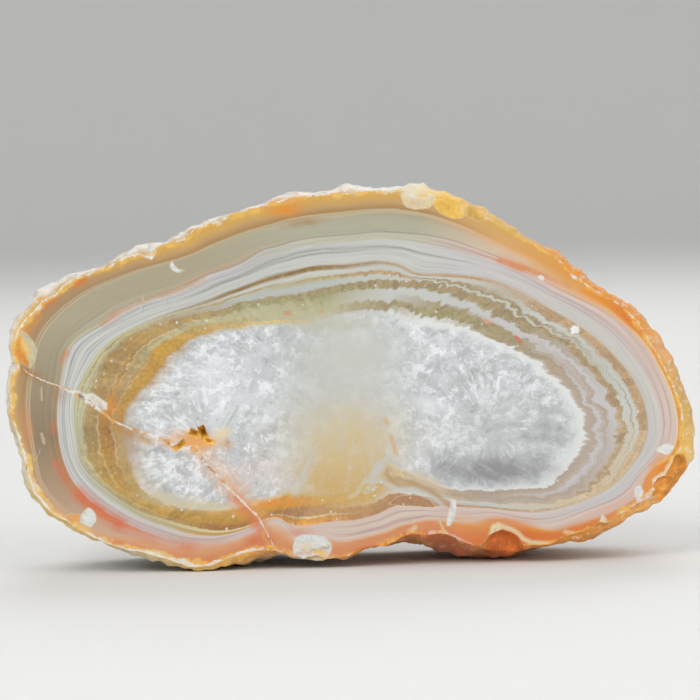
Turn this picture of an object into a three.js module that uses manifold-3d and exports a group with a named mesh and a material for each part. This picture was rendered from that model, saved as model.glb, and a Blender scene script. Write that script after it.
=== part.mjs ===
// Agate slice: a thick slab sawn across a banded nodule, polished on its front and standing on its lower edge.
// Millimetres, +Z up. The polished face looks along -Y, and the origin is on the ground under the middle.
import * as THREE from 'three';
import { ImprovedNoise } from 'three/addons/math/ImprovedNoise.js';
import { mergeVertices } from 'three/addons/utils/BufferGeometryUtils.js';
import Module from 'manifold-3d';

// Driving dimensions
const THICKNESS = 19; // from the polished face to the sawn back
const LEAN = 1.5; // degrees that the drawn outline turns clockwise to stand on its two feet
const FOOT_WEAR = 0.5; // how much of the lowest lumps is worn flat where the slice stands
const SECTIONS = 232; // steps round the rim
const NODULE = { spread: 11, deep: 7, share: 0.9 }; // the rim's small steps die out this deep into the nodule
const STONE_COLOUR = '#c9b49a';

// The edge of the polished face, clockwise from the crack on the left: [across, up, width of rind outside it].
// The rind is the rough white skin, which swells past the face just behind it.
const RIM = [
  [-45.0, 28.2, 0.9], [-45.4, 30.1, 0.8], [-44.9, 32.4, 0.9], [-43.7, 34.4, 0.9], [-42.4, 35.6, 1.2],
  [-41.2, 37.0, 1.4], [-39.7, 37.8, 1.5], [-38.3, 39.2, 0.8], [-37.0, 40.0, 0.7], [-34.8, 40.8, 0.5],
  [-32.7, 41.4, 0.7], [-30.8, 42.5, 0.6], [-29.3, 43.1, 0.5], [-27.8, 43.3, 1.1], [-26.6, 43.4, 1.2],
  [-25.5, 44.3, 0.5], [-23.5, 45.0, 0.7], [-22.0, 45.3, 0.9], [-21.2, 46.3, 0.5], [-19.6, 47.1, 0.4],
  [-17.6, 47.7, 0.8], [-16.2, 48.4, 0.3], [-13.9, 49.2, 0.3], [-11.9, 49.5, 0.3], [-10.1, 50.2, 0.4],
  [-7.4, 50.8, 0.4], [-4.3, 51.2, 0.3], [-2.2, 51.4, 0.5], [0.0, 51.4, 0.9], [2.2, 51.7, 0.5],
  [4.3, 51.8, 0.2], [6.8, 51.9, 0.2], [8.1, 51.5, 0.9], [9.5, 51.3, 1.2], [11.1, 51.2, 0.5],
  [13.1, 50.8, 0.5], [15.7, 49.9, 0.6], [18.1, 48.6, 0.6], [20.0, 47.4, 0.4], [22.4, 45.9, 0.4],
  [25.5, 44.3, 0.4], [27.8, 42.8, 0.7], [29.4, 41.4, 0.7], [30.7, 40.2, 1.1], [32.4, 38.9, 0.8],
  [33.7, 38.1, 0.6], [36.5, 36.4, 0.5], [38.7, 34.4, 1.1], [39.8, 32.8, 1.1], [40.9, 31.1, 1.7],
  [41.9, 29.5, 1.5], [42.7, 27.9, 1.5], [44.0, 25.4, 1.3], [44.8, 23.1, 1.5], [45.2, 20.4, 1.6],
  [45.2, 18.0, 1.5], [44.7, 16.3, 2.0], [43.5, 14.6, 2.0], [42.3, 12.6, 1.8], [41.0, 10.8, 1.6],
  [39.3, 9.6, 1.6], [37.5, 8.5, 1.6], [35.4, 7.2, 1.3], [33.3, 6.4, 1.6], [31.5, 5.6, 1.3],
  [29.2, 4.9, 1.1], [27.0, 3.9, 0.4], [24.6, 3.8, 0.4], [22.1, 3.5, 0.4], [20.2, 3.5, 0.4],
  [18.4, 3.7, 0.4], [16.7, 3.8, 0.4], [15.3, 4.4, 0.4], [13.5, 5.2, 0.4], [12.2, 5.5, 0.4],
  [10.5, 5.1, 0.4], [8.6, 5.4, 0.3], [7.3, 4.9, 0.3], [6.0, 4.1, 0.3], [4.6, 3.6, 0.3],
  [2.6, 3.5, 0.3], [1.0, 3.0, 0.3], [-0.3, 2.2, 0.3], [-2.4, 2.0, 0.3], [-4.1, 1.8, 0.3],
  [-5.9, 1.9, 0.3], [-7.6, 2.4, 0.3], [-8.9, 2.7, 0.3], [-10.3, 3.1, 0.7], [-12.2, 3.1, 1.2],
  [-14.3, 2.7, 1.4], [-16.5, 1.9, 1.1], [-18.4, 1.1, 0.7], [-19.8, 0.8, 0.7], [-21.4, 0.8, 0.6],
  [-23.2, 1.4, 0.8], [-25.2, 2.0, 0.8], [-27.3, 2.6, 0.9], [-29.7, 3.1, 0.7], [-32.2, 3.8, 0.6],
  [-34.3, 4.7, 0.5], [-35.9, 5.6, 0.5], [-37.5, 6.6, 0.5], [-39.2, 7.5, 0.7], [-40.5, 8.4, 0.7],
  [-41.6, 9.6, 0.9], [-42.5, 10.9, 0.9], [-43.1, 12.3, 0.9], [-43.6, 14.3, 0.8], [-44.1, 16.3, 0.7],
  [-44.7, 18.2, 0.5], [-45.2, 19.8, 0.7], [-45.5, 21.5, 0.6], [-45.6, 23.4, 0.7], [-45.7, 25.4, 0.8],
  [-45.4, 27.1, 0.8],
];

// Rings from the polished face to the back: how deep, how much of the rind's width is out there,
// how far the nodule draws in from it except underneath, and how strong the lumps are.
const RINGS = [
  { depth: 0, rind: 0, swell: 0, lumps: 0.1 },
  { depth: 0.45, rind: 0.65, swell: 0, lumps: 0.4 },
  { depth: 1.3, rind: 1, swell: 0, lumps: 0.6 },
  { depth: 2.6, rind: 0.95, swell: -0.05, lumps: 0.8 },
  { depth: 4.0, rind: 0.75, swell: -0.1, lumps: 1 },
  { depth: 5.5, rind: 0.6, swell: -0.15, lumps: 1 },
  { depth: 7.1, rind: 0.5, swell: -0.15, lumps: 1 },
  { depth: 8.8, rind: 0.4, swell: -0.2, lumps: 1 },
  { depth: 10.5, rind: 0.3, swell: -0.35, lumps: 1 },
  { depth: 12.2, rind: 0.2, swell: -0.6, lumps: 1 },
  { depth: 13.9, rind: 0.1, swell: -0.95, lumps: 1 },
  { depth: 15.6, rind: 0, swell: -1.4, lumps: 1 },
  { depth: 17.3, rind: 0, swell: -2.0, lumps: 0.9 },
  { depth: THICKNESS, rind: 0, swell: -2.8, lumps: 0.6 },
];
const BIG_LUMP = { size: 6.5, height: 0.75 };
const SMALL_LUMP = { size: 2.6, height: 0.4 };

// Where the nodule hangs lower behind the face: the belly behind the hollow of the lower edge,
// which the slice stands on, and the left foot, which stays low to the back.
const LOW_PLACES = [
  { from: 2, to: 34, drop: 2.8, deep: 7 },
  { from: -36, to: -4, drop: 1.6, deep: 8 },
];

// Pieces broken out of the front edge: [across, depth, up] of each scoop's middle, and its half sizes.
const CHIPS = [
  { at: [20.9, -0.5, 1.9], half: [3.3, 2.7, 4.1] },
  { at: [12.6, -0.9, 4.1], half: [1.3, 1.6, 1.2] },
  { at: [42.9, -0.8, 12.0], half: [2.0, 1.5, 1.5] },
  { at: [45.0, -0.7, 14.9], half: [1.4, 1.4, 1.7] },
  { at: [39.6, -0.9, 8.6], half: [1.7, 1.5, 1.1] },
  { at: [34.4, -0.9, 6.3], half: [1.5, 1.4, 0.9] },
  { at: [-45.6, -0.6, 28.0], half: [1.0, 1.5, 0.8] },
  { at: [-4.6, -1.1, 1.7], half: [2.2, 1.6, 1.0] },
];

// The little open hole where the crack crosses the crystals: sharp four-sided pits.
const PITS = [
  { at: [-20.9, 19.0], half: [0.75, 0.5], depth: 1.5, turn: 25 },
  { at: [-19.7, 19.1], half: [0.55, 0.95], depth: 2.4, turn: -18 },
  { at: [-22.9, 17.3], half: [1.0, 0.4], depth: 1.1, turn: -35 },
  { at: [-18.9, 17.9], half: [0.7, 0.35], depth: 0.8, turn: 15 },
];

const wasm = await Module();
wasm.setup();
const noise = new ImprovedNoise();

// Turns a place of the drawn face, across and up, into the place where it stands.
function stand(across, up) {
  const lean = THREE.MathUtils.degToRad(LEAN);
  return [
    across * Math.cos(lean) + up * Math.sin(lean),
    up * Math.cos(lean) - across * Math.sin(lean),
  ];
}

// A smooth hump over a stretch: 0 outside it, 1 in its middle.
function hump(value, { from, to }) {
  if (value <= from || value >= to) return 0;
  return Math.sin((Math.PI * (value - from)) / (to - from)) ** 1.5;
}

// Height of the rind's lumps at a place: broad swells with small warts on them.
function lumpHeight(x, y, z) {
  const big = noise.noise(x / BIG_LUMP.size, y / BIG_LUMP.size, z / BIG_LUMP.size);
  const small = Math.abs(noise.noise(x / SMALL_LUMP.size + 7, y / SMALL_LUMP.size, z / SMALL_LUMP.size));
  return BIG_LUMP.height * big + SMALL_LUMP.height * (2 * small - 0.5);
}

// The rim as sections, each with its place, its outward direction, the width of its rind,
// and its place on the smoother nodule behind the face.
function rimSections() {
  const line = new THREE.CatmullRomCurve3(
    RIM.map(([across, up, rind]) => new THREE.Vector3(...stand(across, up), rind)),
    true,
    'centripetal',
  );
  const points = line.getSpacedPoints(SECTIONS).slice(0, SECTIONS);
  const at = (i) => points[(i + SECTIONS) % SECTIONS];
  const reach = 4; // neighbours that the outward direction is taken across
  return points.map((point, i) => {
    const along = new THREE.Vector2(at(i + reach).x - at(i - reach).x, at(i + reach).y - at(i - reach).y);
    along.normalize();
    const smooth = new THREE.Vector2();
    let weights = 0;
    for (let k = -NODULE.spread; k <= NODULE.spread; k++) {
      const weight = 1 - Math.abs(k) / (NODULE.spread + 1);
      smooth.add(new THREE.Vector2(at(i + k).x, at(i + k).y).multiplyScalar(weight));
      weights += weight;
    }
    return {
      edge: new THREE.Vector2(point.x, point.y),
      smooth: smooth.divideScalar(weights),
      rind: Math.max(point.z, 0),
      out: new THREE.Vector2(-along.y, along.x),
    };
  });
}

// One point of a ring.
function ringPoint(section, ring) {
  const inside = NODULE.share * THREE.MathUtils.smoothstep(ring.depth, 1, NODULE.deep);
  const place = section.edge.clone().lerp(section.smooth, inside);
  const lump = ring.lumps * lumpHeight(place.x, ring.depth, place.y);
  const swell = ring.swell * (1 - Math.max(-section.out.y, 0));
  place.addScaledVector(section.out, ring.rind * section.rind + swell + lump);
  for (const low of LOW_PLACES) {
    const grown = THREE.MathUtils.smoothstep(ring.depth, 0.6, low.deep);
    place.y += low.drop * hump(section.edge.x, low) * grown * Math.min(section.out.y, 0);
  }
  return [place.x, ring.depth, place.y];
}

// Joins the rings into a closed body, with a flat face at each end.
function slabGeometry(sections) {
  const positions = RINGS.flatMap((ring) => sections.map((section) => ringPoint(section, ring))).flat();
  const index = [];
  for (let r = 0; r + 1 < RINGS.length; r++) {
    for (let i = 0; i < SECTIONS; i++) {
      const next = (i + 1) % SECTIONS;
      const [a, b] = [r * SECTIONS + i, r * SECTIONS + next];
      const [c, d] = [a + SECTIONS, b + SECTIONS];
      if ((i + r) % 2) index.push(a, b, c, b, d, c);
      else index.push(a, b, d, a, d, c);
    }
  }
  const first = (RINGS.length - 1) * SECTIONS;
  for (const [start, front] of [[0, true], [first, false]]) {
    const contour = sections.map((_, i) => {
      const at = 3 * (start + i);
      return new THREE.Vector2(positions[at], positions[at + 2]);
    });
    for (const [a, b, c] of THREE.ShapeUtils.triangulateShape(contour, [])) {
      if (front) index.push(start + a, start + b, start + c);
      else index.push(start + a, start + c, start + b);
    }
  }
  const geometry = new THREE.BufferGeometry();
  geometry.setAttribute('position', new THREE.Float32BufferAttribute(positions, 3));
  geometry.setIndex(index);
  return geometry;
}

// A three.js geometry as a solid that can be cut.
function toSolid(geometry) {
  const bare = geometry.clone();
  bare.deleteAttribute('normal');
  bare.deleteAttribute('uv');
  const merged = mergeVertices(bare, 1e-4);
  return new wasm.Manifold(
    new wasm.Mesh({
      numProp: 3,
      vertProperties: new Float32Array(merged.attributes.position.array),
      triVerts: new Uint32Array(merged.index.array),
    }),
  );
}

// A solid as a three.js geometry.
function toGeometry(solid) {
  const mesh = solid.getMesh();
  const geometry = new THREE.BufferGeometry();
  geometry.setAttribute('position', new THREE.Float32BufferAttribute(mesh.vertProperties, 3));
  geometry.setIndex([...mesh.triVerts]);
  return geometry;
}

// The shell-shaped scoop that a broken-out chip leaves.
function chipCutter({ at, half }) {
  const [x, z] = stand(at[0], at[2]);
  return new THREE.IcosahedronGeometry(1, 2).scale(...half).translate(x, at[1], z);
}

// A pit with four flat walls that meet in a point behind the face.
function pitCutter({ at, half, depth, turn }) {
  const [x, z] = stand(...at);
  const above = 0.5; // how far the cutter starts in front of the face
  const grow = (depth + above) / depth;
  return new THREE.ConeGeometry(Math.SQRT2, depth + above, 4)
    .rotateY(Math.PI / 4)
    .translate(0, (depth + above) / 2 - above, 0)
    .scale(half[0] * grow, 1, half[1] * grow)
    .rotateY(THREE.MathUtils.degToRad(turn))
    .translate(x, 0, z);
}

// Wears the lowest lumps flat, then sets the slice on the ground with its middle over the origin.
function settle(geometry) {
  geometry.computeBoundingBox();
  const ground = geometry.boundingBox.min.z + FOOT_WEAR;
  const position = geometry.attributes.position;
  for (let i = 0; i < position.count; i++) position.setZ(i, Math.max(position.getZ(i), ground));
  geometry.computeBoundingBox();
  const middle = geometry.boundingBox.getCenter(new THREE.Vector3());
  return geometry.translate(-middle.x, -middle.y, -ground);
}

let stone = toSolid(slabGeometry(rimSections()));
for (const cutter of [...CHIPS.map(chipCutter), ...PITS.map(pitCutter)]) {
  stone = stone.subtract(toSolid(cutter));
}

const agate = new THREE.Mesh(
  settle(toGeometry(stone)),
  new THREE.MeshStandardMaterial({ color: STONE_COLOUR, roughness: 0.25, metalness: 0 }),
);
agate.name = 'agate_slice';

const root = new THREE.Group();
root.add(agate);

export default root;
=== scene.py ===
"""Looks of the agate slice: the polished banded face, the rough rind, the broken chips and the sawn back.

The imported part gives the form. One skin is built from it, fine enough to carry the bands, and it stands for
the part's only node. Everything is in metres; sizes on the face are written in millimetres and turned into
metres where they meet the mesh.
"""

import logging
import math
from dataclasses import dataclass
from enum import Enum

import bmesh
import bpy
import numpy as np
from mathutils import Matrix, Vector, noise


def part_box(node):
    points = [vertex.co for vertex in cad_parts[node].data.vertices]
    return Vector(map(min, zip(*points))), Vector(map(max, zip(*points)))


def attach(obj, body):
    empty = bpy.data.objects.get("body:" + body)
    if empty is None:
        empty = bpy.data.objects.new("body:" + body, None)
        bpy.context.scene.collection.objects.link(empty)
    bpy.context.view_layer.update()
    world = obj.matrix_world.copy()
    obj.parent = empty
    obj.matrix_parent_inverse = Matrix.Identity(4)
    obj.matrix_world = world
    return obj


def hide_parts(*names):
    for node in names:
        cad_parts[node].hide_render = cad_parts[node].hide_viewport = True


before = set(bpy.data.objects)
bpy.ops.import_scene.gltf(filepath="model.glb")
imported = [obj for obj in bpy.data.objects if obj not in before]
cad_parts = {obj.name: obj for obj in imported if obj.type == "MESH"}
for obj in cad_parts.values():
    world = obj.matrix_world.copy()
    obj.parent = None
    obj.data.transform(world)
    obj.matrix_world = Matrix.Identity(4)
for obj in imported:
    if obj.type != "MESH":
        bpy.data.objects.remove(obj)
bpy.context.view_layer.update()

log = logging.getLogger("agate_slice")

NODE = "agate_slice"
MM = 0.001
BELT_COUNT = 6

# How the drawn face stands in the part: it leans clockwise on its two feet, and is shifted to the origin.
LEAN_DEG = 1.5
FACE_SHIFT = (0.76, 0.68)

# The photograph's scale on the face, and the pixel that lies under the face's origin.
MM_PER_PIXEL = 0.135
ORIGIN_PIXEL = (350.0, 571.0)

# Where the bearings and depths of the bands are read from: across and up on the face, in millimetres.
HEART = (0.0, 24.2)

# Bearings of the big chip, across which the edge once ran straight.
BROKEN_STRETCH = (128.5, 141.0)

# Depth in millimetres below the face's edge where each belt of bands starts, by bearing clockwise from the
# top.
OCHRE_ENDS = (
    (0, 2.9), (20, 3.0), (30, 3.4), (45, 2.6), (60, 2.2), (75, 2.1), (80, 1.1), (100, 1.2), (105, 2.2),
    (110, 1.0), (124, 1.6), (128, 6.2), (131, 5.7), (135, 4.2), (140, 3.9), (145, 2.1), (155, 1.3),
    (175, 1.2), (185, 2.2), (195, 3.4), (200, 1.9), (210, 4.4), (220, 4.5), (230, 2.5), (235, 3.2),
    (240, 1.7), (255, 1.3), (265, 2.1), (280, 3.2), (300, 2.8), (320, 3.3), (350, 3.2),
)
FINE_LINES_BEGIN = (
    (0, 6.0), (15, 6.2), (30, 5.9), (45, 4.6), (60, 4.0), (75, 2.6), (80, 1.6), (100, 1.7), (105, 2.6),
    (110, 2.0), (115, 3.0), (124, 2.4), (128, 6.6), (135, 4.7), (140, 4.3), (150, 2.4), (155, 1.7),
    (175, 1.6), (185, 2.5), (195, 3.6), (200, 2.2), (210, 4.7), (220, 4.9), (230, 2.9), (237, 4.2),
    (250, 5.5), (260, 5.2), (270, 6.7), (280, 7.5), (285, 9.0), (300, 8.8), (310, 7.0), (320, 7.4),
    (330, 6.3),
)
BROWN_LINE_BEGINS = (
    (0, 10.2), (20, 10.6), (28, 12.0), (35, 11.2), (45, 9.0), (60, 7.1), (75, 7.0), (85, 5.4), (100, 5.1),
    (110, 4.8), (122, 5.6), (128, 8.4), (140, 7.2), (145, 4.3), (160, 4.4), (175, 4.0), (185, 5.2),
    (205, 3.8), (212, 5.8), (220, 6.8), (228, 6.3), (240, 7.5), (250, 8.6), (255, 7.3), (270, 8.5),
    (280, 11.5), (290, 13.0), (300, 12.4), (310, 10.9), (340, 10.2),
)
DRUSY_BEGINS = (
    (0, 12.6), (25, 13.0), (40, 11.4), (60, 10.5), (70, 11.5), (80, 9.8), (100, 8.6), (110, 6.6),
    (115, 6.3), (125, 9.6), (135, 8.9), (150, 7.3), (170, 6.3), (190, 7.6), (205, 6.6), (220, 7.4),
    (225, 7.6), (230, 7.0), (240, 8.6), (262, 9.1), (270, 12.0), (285, 14.5), (300, 14.2), (310, 12.8),
    (330, 13.5), (350, 13.0),
)
QUARTZ_BEGINS = (
    (0, 16.6), (20, 17.3), (40, 18.0), (50, 17.8), (63, 16.6), (72, 17.8), (85, 16.1), (100, 13.8),
    (115, 10.6), (125, 12.4), (132, 11.2), (140, 12.0), (150, 11.0), (160, 9.5), (175, 8.2), (190, 8.4),
    (205, 8.5), (220, 11.6), (235, 9.6), (245, 10.6), (255, 14.5), (265, 14.8), (275, 19.0), (285, 20.3),
    (295, 18.5), (310, 17.0), (325, 17.9), (345, 17.0),
)
BELTS = (OCHRE_ENDS, FINE_LINES_BEGIN, BROWN_LINE_BEGINS, DRUSY_BEGINS, QUARTZ_BEGINS)

# How far each belt's start, and the edge it is measured from, are smoothed round the slice, in degrees.
BELT_SOFTNESS = (1.0, 1.6, 2.2, 2.6, 2.6)
EDGE_CALM = 3.0

# Tops up the belts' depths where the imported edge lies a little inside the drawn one, by bearing.
EDGE_LIFT = (
    (0, 0.4), (60, 0.45), (95, 0.4), (112, 0.1), (140, 0.0), (270, 0.0), (300, 0.15), (340, 0.35),
)

# How far the inner bands break into crystal teeth, in millimetres, by bearing.
TEETH = (
    (0, 0.25), (20, 0.5), (45, 0.85), (70, 1.0), (110, 1.0), (130, 0.7), (150, 0.3), (200, 0.15), (240, 0.4),
    (265, 0.6), (300, 0.55), (330, 0.2),
)

# How strongly the fine lines show, by bearing.
LINES = (
    (0, 0.8), (60, 0.9), (100, 1.0), (150, 0.8), (200, 0.7), (240, 1.2), (270, 1.9), (290, 1.5), (312, 1.0),
)

# How much the crystals stand like fur on their border, by bearing.
FUR = (
    (0, 0.0), (30, 0.1), (60, 0.35), (100, 0.5), (130, 0.35), (160, 0.0), (205, 0.0), (232, 0.8), (265, 0.9),
    (285, 0.8), (298, 0.4), (308, 0.1), (320, 0.0),
)

# How thick the white crust shows on the polished face, in millimetres, by bearing.
CRUST = (
    (0, 0.0), (20, -0.1), (50, -0.1), (75, 0.0), (82, 0.15), (90, 0.15), (100, 0.1), (112, 0.15), (125, -0.4),
    (155, -0.1), (180, -0.05), (200, 0.1), (212, 0.5), (222, 0.7), (232, 0.5), (240, 0.3), (250, 0.35),
    (258, 0.3), (268, 0.15), (280, 0.2), (300, 0.25), (312, 0.25), (330, 0.2), (345, 0.15),
)

# Length round the bands that a full turn stands for, over two pi, in millimetres.
RING_MM = 30.0


class Tone(Enum):
    """The stone's colours, given as red, green and blue from 0 to 255."""

    GOLDEN = (206, 162, 86)
    YELLOW_OCHRE = (222, 182, 98)
    TAN_GOLD = (188, 153, 103)
    TAN_ORANGE = (208, 162, 102)
    RUST_TAN = (164, 126, 80)
    RUST = (160, 112, 64)
    BROWN_TAN = (162, 133, 98)
    SAND = (192, 176, 142)
    GREY_TAN = (168, 158, 134)
    GREY_GREEN = (172, 169, 148)
    PALE_GREEN = (186, 183, 164)
    GREY_BROWN = (138, 120, 92)
    BLUE_WHITE = (194, 195, 190)
    BLUE_GREY = (180, 184, 178)
    DARK_LINE = (148, 150, 140)
    BROWN_LINE = (142, 114, 68)
    WHITE = (194, 194, 186)
    BRIGHT_WHITE = (220, 222, 220)
    DRUSY = (158, 140, 106)
    OLIVE = (156, 151, 110)
    OLIVE_BROWN = (160, 144, 110)
    OLIVE_DARK = (162, 138, 92)
    OLIVE_GOLD = (174, 150, 96)
    PALE_OLIVE = (182, 178, 144)
    ORANGE = (220, 142, 48)
    LIGHT_ORANGE = (224, 162, 92)
    DEEP_ORANGE = (212, 110, 40)
    SALMON = (210, 138, 92)
    RED_SALMON = (206, 106, 66)
    PEACH = (216, 170, 130)
    PALE_PEACH = (206, 184, 158)
    ROSE = (208, 174, 160)
    ROSY_TAN = (196, 162, 134)
    PINK_WHITE = (208, 190, 180)
    PINK_LINE = (186, 152, 144)
    GREY_WHITE = (196, 193, 188)
    CREAM_TAN = (204, 184, 150)
    TAN_BROWN = (180, 150, 114)
    LILAC_WHITE = (194, 191, 191)
    LILAC_GREY = (176, 175, 176)
    MAUVE = (184, 170, 157)
    MAUVE_BROWN = (172, 155, 138)
    BROWN_DRUSY = (174, 130, 94)
    GOLD_DRUSY = (174, 142, 84)
    HONEY = (200, 164, 98)
    MILKY_HONEY = (206, 192, 154)
    GOLD = (190, 148, 62)
    GOLD_ORANGE = (208, 148, 62)
    GOLD_BROWN = (176, 132, 60)
    BURNT_BROWN = (158, 110, 58)
    CREAM = (222, 206, 166)
    CREAM_OLIVE = (200, 190, 158)
    SUNNY = (236, 190, 92)
    MILKY = (194, 195, 187)
    QUARTZ = (212, 215, 217)
    QUARTZ_SHADE = (142, 143, 143)
    QUARTZ_WHITE = (238, 240, 243)
    QUARTZ_MIST = (176, 180, 181)
    RIND_WHITE = (226, 226, 222)
    RIND_GREY = (178, 176, 170)
    # Painted shade of a small pit on the crack that the mesh doesn't cut.
    PIT_SHADE = (96, 88, 76)


def linear(tone: Tone) -> tuple[float, float, float, float]:
    """Turns a tone into the linear colour that a shader socket takes.

    Args:
        tone: One of the stone's colours.

    Returns:
        Red, green, blue and an alpha of one.
    """
    parts = [c / 255 for c in tone.value]
    parts = [p / 12.92 if p <= 0.04045 else ((p + 0.055) / 1.055) ** 2.4 for p in parts]
    return (parts[0], parts[1], parts[2], 1.0)


@dataclass(frozen=True)
class Stretch:
    """How the bands run from the edge inwards at one bearing.

    Each band is a place and a tone. The place counts the belts: 0 is the face's edge, 1 to 5 are where the
    belts begin, and the crystals follow past 5.
    """

    bearing: float
    bands: tuple[tuple[float, Tone], ...]


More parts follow.
